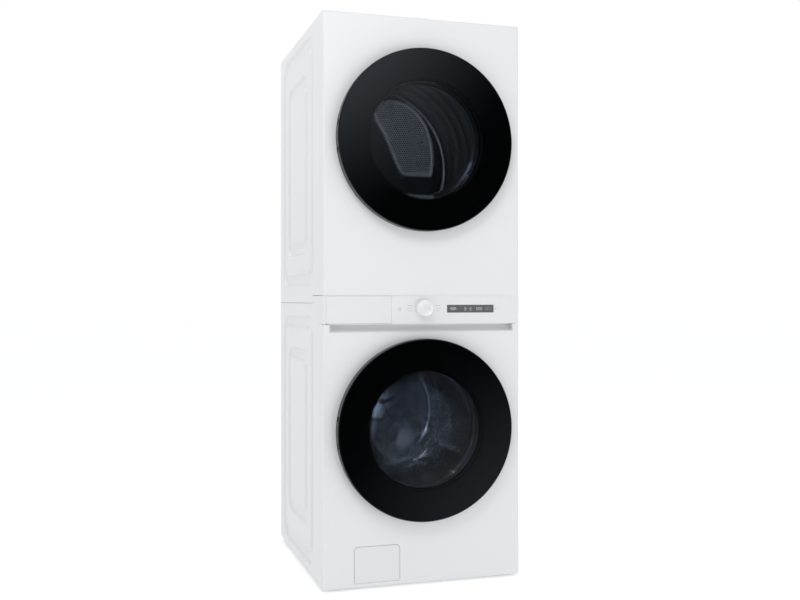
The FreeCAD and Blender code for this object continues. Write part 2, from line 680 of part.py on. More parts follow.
def tub_front():
    shell = turned([(MOUTH_R + 2, 76), (MOUTH_R + 6, 76), (MOUTH_R + 6, TUB_FRONT), (TUB_OUT, TUB_FRONT),
                    (TUB_OUT, TUB_SPLIT - 6), (TUB_OUT + 8, TUB_SPLIT - 6), (TUB_OUT + 8, TUB_SPLIT),
                    (TUB_IN, TUB_SPLIT), (TUB_IN, TUB_FRONT + 5), (MOUTH_R + 2, TUB_FRONT + 5)], 0, WASHER_Z)
    return shell


def tub_rear():
    """Rear half of the tub with its ribbed back, hub and the two shaft bearings."""
    hub = 62.0
    shell = turned([(hub - 6, TUB_BACK - 6), (TUB_IN, TUB_BACK - 6), (TUB_IN, TUB_SPLIT), (TUB_OUT + 8, TUB_SPLIT),
                    (TUB_OUT + 8, TUB_SPLIT + 6), (TUB_OUT, TUB_SPLIT + 6), (TUB_OUT, TUB_BACK), (hub, TUB_BACK),
                    (hub, 656), (32, 656), (32, 620), (hub - 6, TUB_BACK - 2)], 0, WASHER_Z)
    rib = block((hub - 2, TUB_OUT - 2), (TUB_BACK - 1, TUB_BACK + 16), (WASHER_Z - 2, WASHER_Z + 2))
    shell = fused(shell, *[spun(rib, 30 * step, WASHER_Z) for step in range(12)])
    bearings = [tube(0, WASHER_Z, 32, SHAFT_R + PIN_FIT, depths) for depths in ((622, 636), (640, 654))]
    return Part.makeCompound([shell] + bearings)


def ring_sector(z, inner, outer, depths, start, sweep):
    """Part of a flat ring, angles from +X towards +Z."""
    begin = math.radians(start)
    middle = math.radians(start + sweep / 2)
    end = math.radians(start + sweep)

    def at(radius, angle):
        return V(radius * math.cos(angle), deep(depths[0]), z + radius * math.sin(angle))

    edges = [
        Part.Arc(at(outer, begin), at(outer, middle), at(outer, end)).toShape(),
        Part.LineSegment(at(outer, end), at(inner, end)).toShape(),
        Part.Arc(at(inner, end), at(inner, middle), at(inner, begin)).toShape(),
        Part.LineSegment(at(inner, begin), at(outer, begin)).toShape(),
    ]
    return Part.Face(Part.Wire(edges)).extrude(V(0, depths[1] - depths[0], 0))


def counterweight():
    """Concrete blocks: one saddle on top of the tub and two crescents on its front."""
    saddle = block((-120, 120), (120, 320), (WASHER_Z + 200, WASHER_Z + 330))
    saddle = saddle.cut(rod(0, WASHER_Z, TUB_OUT, (100, 340)))
    crescents = [ring_sector(WASHER_Z, 246, 284, (44, TUB_FRONT), start, 120) for start in (30, 210)]
    return Part.makeCompound([saddle] + crescents)


def stator():
    """Wound stator ring with its teeth, bolted to the back of the tub."""
    hub = 62.0
    core = tube(0, WASHER_Z, 100, hub + 0.5, (640, 664))
    tooth = block((98, 128), (642, 662), (WASHER_Z - 5, WASHER_Z + 5))
    return fused(core, *[spun(tooth, 15 * step, WASHER_Z) for step in range(24)])


def rotor():
    """Outer rotor cup of the direct drive motor."""
    return turned([(SHAFT_R, 674), (134, 674), (134, 640), (138, 640), (138, 680), (SHAFT_R, 680)], 0, WASHER_Z)


def drum_spider():
    """Three cast arms behind the drum and the drive shaft."""
    shaft = rod(0, WASHER_Z, SHAFT_R, (DRUM_BACK + 1, 694))
    hub = rod(0, WASHER_Z, 48, (DRUM_BACK, DRUM_BACK + 9))
    arm = block((30, 240), (DRUM_BACK, DRUM_BACK + 7), (WASHER_Z - 15, WASHER_Z + 15))
    return fused(hub, shaft, *[spun(arm, 90 + 120 * step, WASHER_Z) for step in range(3)])


def washer_drum():
    """Stainless drum with a rolled mouth and a pressed back."""
    skin = DRUM_SKIN
    return turned([(DRUM_MOUTH_R, DRUM_FRONT + 6), (DRUM_MOUTH_R + 2, DRUM_FRONT), (DRUM_R - 14, DRUM_FRONT),
                   (DRUM_R, DRUM_FRONT + 14), (DRUM_R, DRUM_BACK - 8), (DRUM_R - 8, DRUM_BACK), (0, DRUM_BACK),
                   (0, DRUM_BACK - skin), (DRUM_R - 8.5, DRUM_BACK - skin), (DRUM_R - skin, DRUM_BACK - 8.5),
                   (DRUM_R - skin, DRUM_FRONT + 14.5), (DRUM_R - 14.5, DRUM_FRONT + skin),
                   (DRUM_MOUTH_R + 2.8, DRUM_FRONT + skin), (DRUM_MOUTH_R + skin, DRUM_FRONT + 6)], 0, WASHER_Z)


def paddle(z, base, top, depths, width):
    """Tapered block that leans in from radius base to radius top."""
    near, far = depths
    half = width / 2
    lower = [V(base, deep(near), z - half), V(base, deep(far), z - half),
             V(base, deep(far), z + half), V(base, deep(near), z + half)]
    near_top = near + 30
    far_top = far - 30
    tip = width / 6
    upper = [V(top, deep(near_top), z - tip), V(top, deep(far_top), z - tip),
             V(top, deep(far_top), z + tip), V(top, deep(near_top), z + tip)]
    return Part.makeLoft([Part.makePolygon(lower + lower[:1]), Part.makePolygon(upper + upper[:1])], True, True)


def lifters(z, radius, depths, height, width):
    """Three hollow tapered paddles on the inside of a drum."""
    base = radius - 0.2
    wall = 3.0
    outer = paddle(z, base, radius - height, depths, width)
    hollow = paddle(z, base + 1, radius - height + wall, grown(depths, -wall), width - 2.4 * wall)
    shell = outer.cut(hollow).common(rod(0, z, base, grown(depths, 5)))
    return Part.makeCompound([spun(shell, 90 + 120 * step, z) for step in range(3)])


def washer_lifters():
    return lifters(WASHER_Z, DRUM_R - DRUM_SKIN, (135, 560), 62, 62)


SPRING_X = -246.0
SPRING_DEPTH = 400.0


def tub_springs():
    """Two hanging springs, from the hangers down to the tub."""
    spring = post(SPRING_X, SPRING_DEPTH, 12, (703, 897)).cut(post(SPRING_X, SPRING_DEPTH, 9, (700, 900)))
    return Part.makeCompound(both_sides(spring))


def damper_cylinders():
    cylinder = post(-150, 300, 15, (64, 196)).cut(post(-150, 300, 8.5, (76, 200)))
    return Part.makeCompound(both_sides(cylinder))


def damper_rods():
    """Damper rods under the tub, and the lugs that the springs hook into."""
    rod_piece = post(-150, 300, 8, (108, 290)).fuse(block((-166, -134), (284, 316), (250, 300)))
    rod_piece = rod_piece.cut(rod(0, WASHER_Z, TUB_OUT, (200, 400)))
    lug = block((SPRING_X - 14, SPRING_X + 14), (390, 410), (640, 700))
    lug = lug.cut(rod(0, WASHER_Z, TUB_OUT, (300, 500)))
    pieces = [max(rod_piece.Solids, key=lambda solid: solid.Volume), max(lug.Solids, key=lambda solid: solid.Volume)]
    return Part.makeCompound([copy for piece in pieces for copy in both_sides(piece)])


def flap_lugs():
    """Two round bored lugs for the flap's pins."""
    lugs = []
    barrel = 3.1
    for x in (FLAP_EARS[0] - 6.5, FLAP_EARS[1] + EAR_WIDTH + 1.5):
        web = block((x, x + 5), (FLAP_AXIS_DEPTH, 30), (FLAP_AXIS_Z - 2.9, FLAP_AXIS_Z + 6.5))
        lug = bar((x, x + 5), FLAP_AXIS_DEPTH, FLAP_AXIS_Z, barrel).fuse(web)
        lugs.append(lug.cut(bar((x - 1, x + 6), FLAP_AXIS_DEPTH, FLAP_AXIS_Z, FLAP_PIN_R + PIN_FIT)))
    return lugs


def access_tray():
    """Recess behind the flap: rim, tray and the flap's lugs."""
    xs = grown(FLAP_X, -5)
    zs = (FLAP_Z[0] + 9, FLAP_Z[1] - 5)
    tray = rounded_plate(grown(xs, 2), grown(zs, 2), 9, (6, 54)).cut(rounded_plate(xs, zs, 7, (0, 52)))
    tray = tray.cut(rod(FILTER_X, FILTER_Z, FILTER_HOUSING_R, (40, 60)))
    rim = rounded_plate(grown(FLAP_X, 12), (zs[0] - 2, FLAP_Z[1] + 10), 12, (SHEET + 0.1, 6.5))
    rim = rim.cut(rounded_plate(xs, zs, 7, (0, 10)))
    rim = rim.cut(flap_plate(0.6, (0, WALL + 0.6)))
    for x in FLAP_EARS:
        pin_gap = block((x - 10, x + 14), (0, 10), (FLAP_Z[0], zs[0] + 1))
        rim = rim.cut(pin_gap)
        tray = tray.cut(pin_gap)
        tray = tray.cut(block((x - 1, x + EAR_WIDTH + 1), (0, 10), (FLAP_Z[0], FLAP_AXIS_Z + 13)))
    return fused(tray, rim, *flap_lugs())


FILTER_HOUSING_R = 36.0


def drain_pump():
    """Pump with its filter housing, the access tray, the drain pipe and its rear outlet."""
    housing = tube(FILTER_X, FILTER_Z, FILTER_HOUSING_R, 31, (40, 130))
    pump = rod(FILTER_X, FILTER_Z, 40, (130, 215))
    pipe_z = 70.0
    run = block((DRAIN_X - 8, FILTER_X), (190, 206), (pipe_z - 8, pipe_z + 8))
    along = rod(DRAIN_X, pipe_z, 10.5, (185, 735))
    rise = post(DRAIN_X, 735, 12, (pipe_z - 13, DRAIN_Z + 13))
    end = CABINET_DEPTH + PORT_PROUD
    neck = rod(DRAIN_X, DRAIN_Z, 11, (735, CABINET_DEPTH))
    outlet = neck.fuse(rod(DRAIN_X, DRAIN_Z, DRAIN_R, (CABINET_DEPTH, end)))
    outlet = outlet.cut(rod(DRAIN_X, DRAIN_Z, 9, (755, end + 1)))
    works = fused(housing, pump, run, along, rise, outlet)
    return Part.makeCompound([access_tray(), works])


def pump_filter():
    """Screw-in drain filter: cap with a finger bar and a basket."""
    cap = turned([(0, 34), (28, 34), (30, 36), (30, 44), (27, 44), (27, 118), (25, 118), (25, 46), (0, 46)],
                 FILTER_X, FILTER_Z)
    grip = block((FILTER_X - 24, FILTER_X + 24), (18, 35), (FILTER_Z - 4, FILTER_Z + 4))
    window = block((FILTER_X - 10, FILTER_X + 10), (56, 108), (FILTER_Z - 40, FILTER_Z + 40))
    crossing = block((FILTER_X - 40, FILTER_X + 40), (56, 108), (FILTER_Z - 10, FILTER_Z + 10))
    return fused(cap.cut(window).cut(crossing), grip)


def water_inlet_valves():
    """Hot and cold solenoid valves with their threaded rear ports."""
    end = CABINET_DEPTH + PORT_PROUD
    valves = []
    for x in INLET_XS:
        port = rod(x, INLET_Z, INLET_R, (CABINET_DEPTH, end))
        collar = rod(x, INLET_Z, INLET_R + 1.2, (CABINET_DEPTH - 22, CABINET_DEPTH))
        body = block((x - 17, x + 17), (700, CABINET_DEPTH - 21), (INLET_Z - 20, INLET_Z + 24))
        valves.append(fused(body, collar, port).cut(rod(x, INLET_Z, 9, (760, end + 1))))
    return Part.makeCompound(valves)


# ---------------------------------------------------------------- dryer works

def roller_centre(side):
    reach = DRY_R + ROLLER_R + ROLLER_GAP
    angle = math.radians(ROLLER_ANGLE)
    return side * reach * math.sin(angle), DRYER_Z - reach * math.cos(angle)


def dryer_drum():
    skin = 1.2
    lip = DRY_R - 10
    return turned([(lip, DRY_FRONT), (DRY_R, DRY_FRONT), (DRY_R, DRY_BACK), (lip, DRY_BACK), (lip, DRY_BACK - skin),
                   (DRY_R - skin, DRY_BACK - skin), (DRY_R - skin, DRY_FRONT + skin), (lip, DRY_FRONT + skin)],
                  0, DRYER_Z)


def dryer_lifters():
    return lifters(DRYER_Z, DRY_R - 1.2, (95, 655), 78, 70)


def dryer_rear_bulkhead():
    """Back wall of the dryer with the drum seal ring and the two roller axles."""
    half_width = HALF - GROOVE_DEPTH - 3
    wall = block((-half_width, half_width), (696, 697.5), (CONSOLE_TOP + 36, HEIGHT - 8))
    wall = wall.cut(rod(EXHAUST_X, EXHAUST_Z, EXHAUST_R + 2, (690, 700)))
    seal = tube(0, DRYER_Z, DRY_R - 10.6, DRY_R - 18, (684, 696.2))
    rim = tube(0, DRYER_Z, 276, 273, (690, 696.2))
    axles = []
    for side in (-1, 1):
        x, z = roller_centre(side)
        axles.append(rod(x, z, AXLE_R, (632, 696.2)))
    return fused(wall, seal, rim, *axles)


def dryer_front_bulkhead():
    """Front wall of the dryer: throat behind the door, drum ring and the lint duct."""
    throat = 205.0
    wall = block((-HALF + 6, HALF - 6), (50, 52), (CONSOLE_TOP + 36, HEIGHT - 8)).cut(rod(0, DRYER_Z, throat, (40, 60)))
    collar = tube(0, DRYER_Z, throat + 3, throat, (20, 51))
    seal = tube(0, DRYER_Z, DRY_R - 10.6, DRY_R - 18, (51, 66))
    duct_xs = (-116, 116)
    duct_zs = (1052, DRYER_Z - 160)
    duct = block(duct_xs, (21, 51), duct_zs)
    duct = duct.cut(rod(0, DRYER_Z, throat + 1.5, (0, 60)))
    body = fused(wall, collar, seal, duct)
    slot = block(grown(duct_xs, -3), (26, 48), (duct_zs[0] + 3, DRYER_Z - 100))
    return body.cut(slot)


def lint_filter():
    """Lint screen in its frame, pulled up by the grip at its top."""
    frame = block((-110, 110), (31, 43), (1060, DRYER_Z - 186))
    opening = block((-100, 100), (30, 44), (1072, DRYER_Z - 212))
    screen = block((-101, 101), (36, 37), (1071, DRYER_Z - 211))
    grip = block((-45, 45), (31, 43), (DRYER_Z - 186, DRYER_Z - 176))
    return fused(frame.cut(opening), screen, grip)


def dryer_motor():
    """Induction motor in its cradle on the dryer's floor, and the belt idler's arm."""
    body = rod(MOTOR_X, MOTOR_Z, 52, (436, 556))
    bells = [rod(MOTOR_X, MOTOR_Z, 40, depths) for depths in ((420, 437), (555, 572))]
    cradle = block((MOTOR_X - 46, MOTOR_X + 46), (450, 540), (CONSOLE_TOP + 4.5, MOTOR_Z - 30))
    motor = fused(body, cradle, *bells).cut(rod(MOTOR_X, MOTOR_Z, 5 + PIN_FIT, (400, 600)))
    return Part.makeCompound([motor, idler_bracket()])


def motor_pulley():
    """Motor shaft with the small drum pulley at its front."""
    shaft = rod(MOTOR_X, MOTOR_Z, 5, (362, 652))
    middle = BELT_FRONT + BELT_WIDTH / 2
    half = BELT_WIDTH / 2 + 1.5
    pulley = turned([(0, middle - half - 2), (13, middle - half - 2), (13, middle - half), (PULLEY_R, middle - half),
                     (PULLEY_R, middle + half), (13, middle + half), (13, middle + half + 2),
                     (0, middle + half + 2)], MOTOR_X, MOTOR_Z)
    return fused(shaft, pulley)


def blower_wheel():
    """Paddle wheel on the rear end of the motor shaft."""
    disc = tube(MOTOR_X, MOTOR_Z, 58, 5, (646, 649))
    hub = tube(MOTOR_X, MOTOR_Z, 12, 5, (624, 648))
    blade = block((MOTOR_X + 34, MOTOR_X + 58), (606, 647), (MOTOR_Z - 1.2, MOTOR_Z + 1.2))
    blades = []
    for step in range(16):
        copy = blade.copy()
        copy.rotate(V(MOTOR_X, 0, MOTOR_Z), V(0, 1, 0), 22.5 * step)
        blades.append(copy)
    return fused(disc, hub, *blades)


def air_ducts():
    """Blower housing with the exhaust pipe, and the heater duct behind the rear bulkhead."""
    housing = rod(MOTOR_X, MOTOR_Z, 70, (592, 668)).cut(rod(MOTOR_X, MOTOR_Z, 66, (596, 664)))
    housing = housing.cut(rod(MOTOR_X, MOTOR_Z, 30, (590, 600)))
    link = block((MOTOR_X + 50, EXHAUST_X + 54), (620, 668), (EXHAUST_Z - 54, EXHAUST_Z + 54))
    link_hollow = block((MOTOR_X + 50, EXHAUST_X + 52), (622, 666), (EXHAUST_Z - 52, EXHAUST_Z + 52))
    clearance = rod(MOTOR_X, MOTOR_Z, 66, (596, 664))
    scroll = housing.fuse(link.cut(link_hollow)).cut(clearance)
    end = CABINET_DEPTH + PORT_PROUD
    inner = EXHAUST_R - 1.2
    pipe = tube(EXHAUST_X, EXHAUST_Z, EXHAUST_R + 0.8, inner, (666, CABINET_DEPTH))
    collar = tube(EXHAUST_X, EXHAUST_Z, EXHAUST_R, inner, (CABINET_DEPTH, end))
    scroll = scroll.cut(rod(EXHAUST_X, EXHAUST_Z, EXHAUST_R + 0.8, (664, end + 1)))
    heater = block((80, 280), (697.6, 760), (1120, 1760)).cut(block((83, 277), (690, 757), (1123, 1757)))
    return Part.makeCompound([scroll, pipe.fuse(collar), heater])


def drum_roller(side):
    """Support roller that runs on its axle under the drum's rear edge."""
    x, z = roller_centre(side)
    bore = AXLE_R + PIN_FIT
    return turned([(bore, 640), (14, 640), (14, 644), (ROLLER_R - 9, 644), (ROLLER_R - 9, 641), (ROLLER_R, 641),
                   (ROLLER_R, 663), (ROLLER_R - 9, 663), (ROLLER_R - 9, 660), (14, 660), (14, 664), (bore, 664)],
                  x, z)


def idler_pulley():
    bore = 4 + PIN_FIT
    middle = BELT_FRONT + BELT_WIDTH / 2
    return turned([(bore, middle - 9), (IDLER_R + 3, middle - 9), (IDLER_R + 3, middle - 7.5), (IDLER_R, middle - 7.5),
                   (IDLER_R, middle + 7.5), (IDLER_R + 3, middle + 7.5), (IDLER_R + 3, middle + 9),
                   (bore, middle + 9)], IDLER_X, IDLER_Z)


def idler_bracket():
    """Spring arm that carries the idler's pin."""
    arm = block((IDLER_X - 9, IDLER_X + 9), (352, 356), (CONSOLE_TOP + 4.5, IDLER_Z + 9))
    pin = rod(IDLER_X, IDLER_Z, 4, (354, 388))
    foot = block((IDLER_X - 9, IDLER_X + 9), (352, 392), (CONSOLE_TOP + 4.5, CONSOLE_TOP + 8))
    return fused(arm, foot, pin)


def belt_loop(grow):
    """Closed wire round drum, motor pulley and idler; grow moves it out from the belt's middle line."""
    half = BELT_THICK / 2
    circles = [
        (0.0, DRYER_Z, DRY_R + BELT_GAP + half + grow, 1),
        (MOTOR_X, MOTOR_Z, PULLEY_R + BELT_GAP + half + grow, 1),
        (IDLER_X, IDLER_Z, IDLER_R + BELT_GAP + half - grow, -1),
    ]
    y = deep(BELT_FRONT)
    arrive = {}
    leave = {}
    for index, (x, z, radius, turn) in enumerate(circles):
        following = (index + 1) % len(circles)
        next_x, next_z, next_radius, next_turn = circles[following]
        distance = math.hypot(next_x - x, next_z - z)
        heading = math.atan2(next_z - z, next_x - x)
        heading += math.asin((turn * radius - next_turn * next_radius) / distance)
        normal = (math.sin(heading), -math.cos(heading))
        leave[index] = (x + turn * radius * normal[0], z + turn * radius * normal[1])
        arrive[following] = (next_x + next_turn * next_radius * normal[0],
                             next_z + next_turn * next_radius * normal[1])
    edges = []
    for index, (x, z, radius, turn) in enumerate(circles):
        start = math.atan2(arrive[index][1] - z, arrive[index][0] - x)
        end = math.atan2(leave[index][1] - z, leave[index][0] - x)
        sweep = (turn * (end - start)) % (2 * math.pi)
        middle = start + turn * sweep / 2
        through = (x + radius * math.cos(middle), z + radius * math.sin(middle))
        arc = [V(px, y, pz) for px, pz in (arrive[index], through, leave[index])]
        edges.append(Part.Arc(*arc).toShape())
        goal = arrive[(index + 1) % len(circles)]
        edges.append(Part.LineSegment(V(leave[index][0], y, leave[index][1]), V(goal[0], y, goal[1])).toShape())
    return Part.Wire(edges)


def drum_belt():
    half = BELT_THICK / 2
    outer = Part.Face(belt_loop(half)).extrude(V(0, BELT_WIDTH, 0))
    inner = Part.Face(belt_loop(-half)).extrude(V(0, BELT_WIDTH, 0))
    return outer.cut(inner)


# ---------------------------------------------------------------- build

NODES = {
    "washer_cabinet": washer_cabinet,
    "washer_base": washer_base,
    "washer_front_panel": washer_front_panel,
    "console_panel": console_panel,
    "display_module": display_module,
    "dryer_cabinet": dryer_cabinet,
    "dryer_front_panel": dryer_front_panel,
    "dryer_deck": dryer_deck,
    "top_cover": top_cover,
    "rear_covers": rear_covers,
    "cabinet_screws": cabinet_screws,
    "door_hinges": door_hinges,
    "door_latches": door_latches,
    "door_gasket": door_gasket,
    "dispenser_housing": dispenser_housing,
    "water_inlet_valves": water_inlet_valves,
    "drain_pump": drain_pump,
    "tub_springs": tub_springs,
    "damper_cylinders": damper_cylinders,
    "dryer_rear_bulkhead": dryer_rear_bulkhead,
    "dryer_front_bulkhead": dryer_front_bulkhead,
    "dryer_motor": dryer_motor,
    "air_ducts": air_ducts,
    "drum_belt": drum_belt,
    "washer_door_glass": lambda: door_glass(WASHER_Z),
    "washer_door_ring": lambda: door_ring(WASHER_Z),
    "washer_door_frame": lambda: door_frame(WASHER_Z),
    "washer_door_bowl": washer_door_bowl,
    "dryer_door_glass": lambda: door_glass(DRYER_Z),
    "dryer_door_ring": lambda: door_ring(DRYER_Z),
    "dryer_door_frame": lambda: door_frame(DRYER_Z),
    "dryer_door_window": dryer_door_window,
    "drawer_front": drawer_front,
    "drawer_tray": drawer_tray,
    "knob": knob,
    "power_key": lambda: push_key(POWER_X),
    "start_key": lambda: push_key(START_X),
    "filter_cover": filter_cover,
    "pump_filter": pump_filter,
    "lint_filter": lint_filter,
    "tub_front": tub_front,
    "tub_rear": tub_rear,
    "counterweight": counterweight,
    "stator": stator,
    "damper_rods": damper_rods,
    "washer_drum": washer_drum,
    "washer_lifters": washer_lifters,
    "drum_spider": drum_spider,
    "rotor": rotor,
    "dryer_drum": dryer_drum,
    "dryer_lifters": dryer_lifters,
    "motor_pulley": motor_pulley,
    "blower_wheel": blower_wheel,
    "drum_roller_left": lambda: drum_roller(-1),
    "drum_roller_right": lambda: drum_roller(1),
    "idler_pulley": idler_pulley,
}

for end, foot_depth in FOOT_DEPTHS.items():
    for side, foot_x in (("left", -FOOT_X), ("right", FOOT_X)):
        NODES["foot_" + end + "_" + side] = lambda x=foot_x, depth=foot_depth: levelling_foot(x, depth)

os.makedirs("parts", exist_ok=True)
for name, make in NODES.items():
    make().exportStep("parts/" + name + ".step")
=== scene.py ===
import math

import bmesh
import bpy
import numpy as np
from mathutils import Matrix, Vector


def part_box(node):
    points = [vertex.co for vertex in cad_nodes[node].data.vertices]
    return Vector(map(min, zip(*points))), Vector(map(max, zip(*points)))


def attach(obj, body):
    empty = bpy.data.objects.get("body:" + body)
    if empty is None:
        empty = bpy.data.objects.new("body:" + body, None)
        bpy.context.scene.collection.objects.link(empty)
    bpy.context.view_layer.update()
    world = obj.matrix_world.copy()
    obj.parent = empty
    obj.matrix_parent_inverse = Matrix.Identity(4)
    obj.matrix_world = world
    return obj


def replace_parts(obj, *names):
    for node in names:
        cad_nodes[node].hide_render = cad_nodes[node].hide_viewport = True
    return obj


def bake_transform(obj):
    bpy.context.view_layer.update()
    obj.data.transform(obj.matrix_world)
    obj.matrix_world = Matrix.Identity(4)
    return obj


# Washer with a dryer stacked on it. Everything below is in metres, in the CAD frame.
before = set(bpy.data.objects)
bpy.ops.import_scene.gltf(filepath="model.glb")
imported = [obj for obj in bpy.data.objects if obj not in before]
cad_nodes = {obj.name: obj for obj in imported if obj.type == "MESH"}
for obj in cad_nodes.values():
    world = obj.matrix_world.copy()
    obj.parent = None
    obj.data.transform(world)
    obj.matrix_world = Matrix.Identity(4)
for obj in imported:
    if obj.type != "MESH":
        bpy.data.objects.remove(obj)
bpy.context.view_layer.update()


# ---------------------------------------------------------------- places, read from the frame

def centre_of(node):
    low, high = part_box(node)
    return (low + high) / 2


def radius_of(node):
    low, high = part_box(node)
    return (high.x - low.x) / 2


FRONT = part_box("washer_front_panel")[0].y
WASHER_AXIS = centre_of("washer_drum")
DRYER_AXIS = centre_of("dryer_drum")
KNOB_AXIS = centre_of("knob")
WINDOW_R = 0.200


# ---------------------------------------------------------------- shader helper

class Shader:
    """A Principled material and short ways to add the nodes that feed it."""

    def __init__(self, name):
        self.material = bpy.data.materials.new(name)
        self.material.use_nodes = True
        self.tree = self.material.node_tree
        self.tree.nodes.clear()
        self.out = self.tree.nodes.new("ShaderNodeOutputMaterial")
        self.bsdf = self.tree.nodes.new("ShaderNodeBsdfPrincipled")
        self.tree.links.new(self.bsdf.outputs[0], self.out.inputs[0])

    def put(self, socket, value):
        if isinstance(value, bpy.types.NodeSocket):
            self.tree.links.new(value, socket)
        elif value is not None:
            socket.default_value = value

    def node(self, kind, inputs=(), output=0, **settings):
        made = self.tree.nodes.new(kind)
        for name, value in settings.items():
            setattr(made, name, value)
        for key, value in dict(inputs).items():
            self.put(made.inputs[key], value)
        return made.outputs[output]

    def coords(self, origin=(0, 0, 0), scale=(1, 1, 1)):
        """Object coordinates, in metres, measured from origin and then scaled."""
        place = self.node("ShaderNodeTexCoord", output=3)
        moved = self.node("ShaderNodeVectorMath", {0: place, 1: tuple(origin)}, operation="SUBTRACT")
        return self.node("ShaderNodeVectorMath", {0: moved, 1: tuple(scale)}, operation="MULTIPLY")

    def noise(self, vector, scale, detail=3.0, roughness=0.5):
        return self.node("ShaderNodeTexNoise", {"Vector": vector, "Scale": scale, "Detail": detail,
                                                "Roughness": roughness})

    def math(self, operation, a, b=0.0):
        return self.node("ShaderNodeMath", {0: a, 1: b}, operation=operation)

    def split(self, vector):
        made = self.tree.nodes.new("ShaderNodeSeparateXYZ")
        self.put(made.inputs[0], vector)
        return made.outputs

    def length(self, vector):
        return self.node("ShaderNodeVectorMath", {0: vector}, output=1, operation="LENGTH")

    def remap(self, value, span, to_span, smooth=False):
        ends = {0: value, 1: span[0], 2: span[1], 3: to_span[0], 4: to_span[1]}
        return self.node("ShaderNodeMapRange", ends, interpolation_type="SMOOTHSTEP" if smooth else "LINEAR")

    def ramp(self, value, stops):
        made = self.tree.nodes.new("ShaderNodeValToRGB")
        self.put(made.inputs[0], value)
        elements = made.color_ramp.elements
        while len(elements) < len(stops):
            elements.new(1.0)
        for element, (place, colour) in zip(elements, stops):
            element.position = place
            element.color = colour
        return made.outputs[0]

    def mix(self, factor, a, b, blend="MIX"):
        return self.node("ShaderNodeMix", {0: factor, 6: a, 7: b}, output=2, data_type="RGBA",
                         blend_type=blend)

    def bump(self, height, strength, distance, normal=None):
        return self.node("ShaderNodeBump", {"Height": height, "Strength": strength, "Distance": distance,
                                            "Normal": normal})

    def done(self, colour, roughness, normal=None, **constants):
        """Links colour, roughness and normal, and sets the sockets that stay the same all over."""
        self.put(self.bsdf.inputs["Base Color"], colour)
        self.put(self.bsdf.inputs["Roughness"], roughness)
        self.put(self.bsdf.inputs["Normal"], normal)
        for name, value in constants.items():
            self.put(self.bsdf.inputs[name.replace("_", " ")], value)
        return self.material


def grey(value, tint=0.0):
    """Opaque grey; a positive tint leans blue, a negative one leans warm."""
    return (value * (1 - tint), value, value * (1 + tint), 1.0)


def close_greys(value, spread, tint=0.0):
    """Two ramp stops a little either side of one grey."""
    return [(0.3, grey(value - spread, tint)), (0.7, grey(value + spread, tint))]


# ---------------------------------------------------------------- materials

def powder_coat(name, value, tint):
    """White stoved paint on steel: faint orange peel, a slow change of tone and fine specks in the gloss."""
    s = Shader(name)
    place = s.coords()
    tone = s.ramp(s.noise(place, 2.2, 2.0), close_greys(value, 0.006, tint))
    peel = s.noise(place, 420.0, 2.0, 0.4)
    ripple = s.noise(place, 38.0, 2.0, 0.5)
    height = s.math("ADD", peel, s.math("MULTIPLY", ripple, 1.5))
    rough = s.remap(s.noise(place, 160.0, 3.0), (0.3, 0.7), (0.30, 0.38))
    return s.done(tone, rough, s.bump(height, 0.12, 0.00025), Specular_IOR_Level=0.45)


def moulded(name, value, tint=0.0, gloss=0.4, grain=900.0, depth=0.00012, spread=0.01):
    """Moulded plastic with a fine etched grain."""
    s = Shader(name)
    place = s.coords()
    tone = s.ramp(s.noise(place, 6.0, 3.0), close_greys(value, spread * value, tint))
    etched = s.noise(place, grain, 2.0, 0.6)
    rough = s.remap(s.noise(place, 90.0, 3.0), (0.3, 0.7), (gloss - 0.04, gloss + 0.05))
    return s.done(tone, rough, s.bump(etched, 0.25, depth))


def galvanised(name, value):
    """Zinc-coated sheet: irregular crystals that differ in tone and gloss."""
    s = Shader(name)
    place = s.coords()
    warp = s.noise(place, 60.0, 3.0)
    shift = s.node("ShaderNodeVectorMath", {0: warp, 1: (0.006,) * 3}, operation="MULTIPLY")
    moved = s.node("ShaderNodeVectorMath", {0: place, 1: shift}, operation="ADD")
    cells = s.node("ShaderNodeTexVoronoi", {"Vector": moved, "Scale": 85.0}, output=1)
    crystal = s.split(cells)[0]
    fine = s.noise(place, 700.0, 2.0)
    tone = s.mix(0.25, s.ramp(crystal, [(0.0, grey(value * 0.86, 0.01)), (1.0, grey(value * 1.08, 0.015))]),
                 s.ramp(fine, close_greys(value, 0.05)))
    rough = s.remap(crystal, (0.0, 1.0), (0.32, 0.5))
    return s.done(tone, rough, s.bump(fine, 0.1, 0.0001), Metallic=1.0)


def brushed(name, value, scale, gloss=0.28, centre=None):
    """Stainless sheet with rolled grain; scale stretches the grain, and centre makes it run in circles."""
    s = Shader(name)
    if centre is None:
        place = s.coords(scale=scale)
    else:
        place = s.coords(centre)
        x, y, z = s.split(place)
        around = s.math("ARCTAN2", z, x)
        out = s.length(s.node("ShaderNodeVectorMath", {0: place, 1: (1, 0, 1)}, operation="MULTIPLY"))
        place = s.node("ShaderNodeCombineXYZ", {0: s.math("MULTIPLY", around, scale[0]),
                                                1: s.math("MULTIPLY", y, scale[1]),
                                                2: s.math("MULTIPLY", out, scale[2])})
    grain = s.noise(place, 1.0, 4.0, 0.6)
    soft = s.noise(s.coords(), 14.0, 2.0)
    tone = s.mix(0.4, s.ramp(grain, close_greys(value, 0.05)), s.ramp(soft, close_greys(value, 0.04)))
    rough = s.remap(grain, (0.3, 0.7), (gloss - 0.06, gloss + 0.09))
    return s.done(tone, rough, s.bump(grain, 0.18, 0.00008), Metallic=1.0)


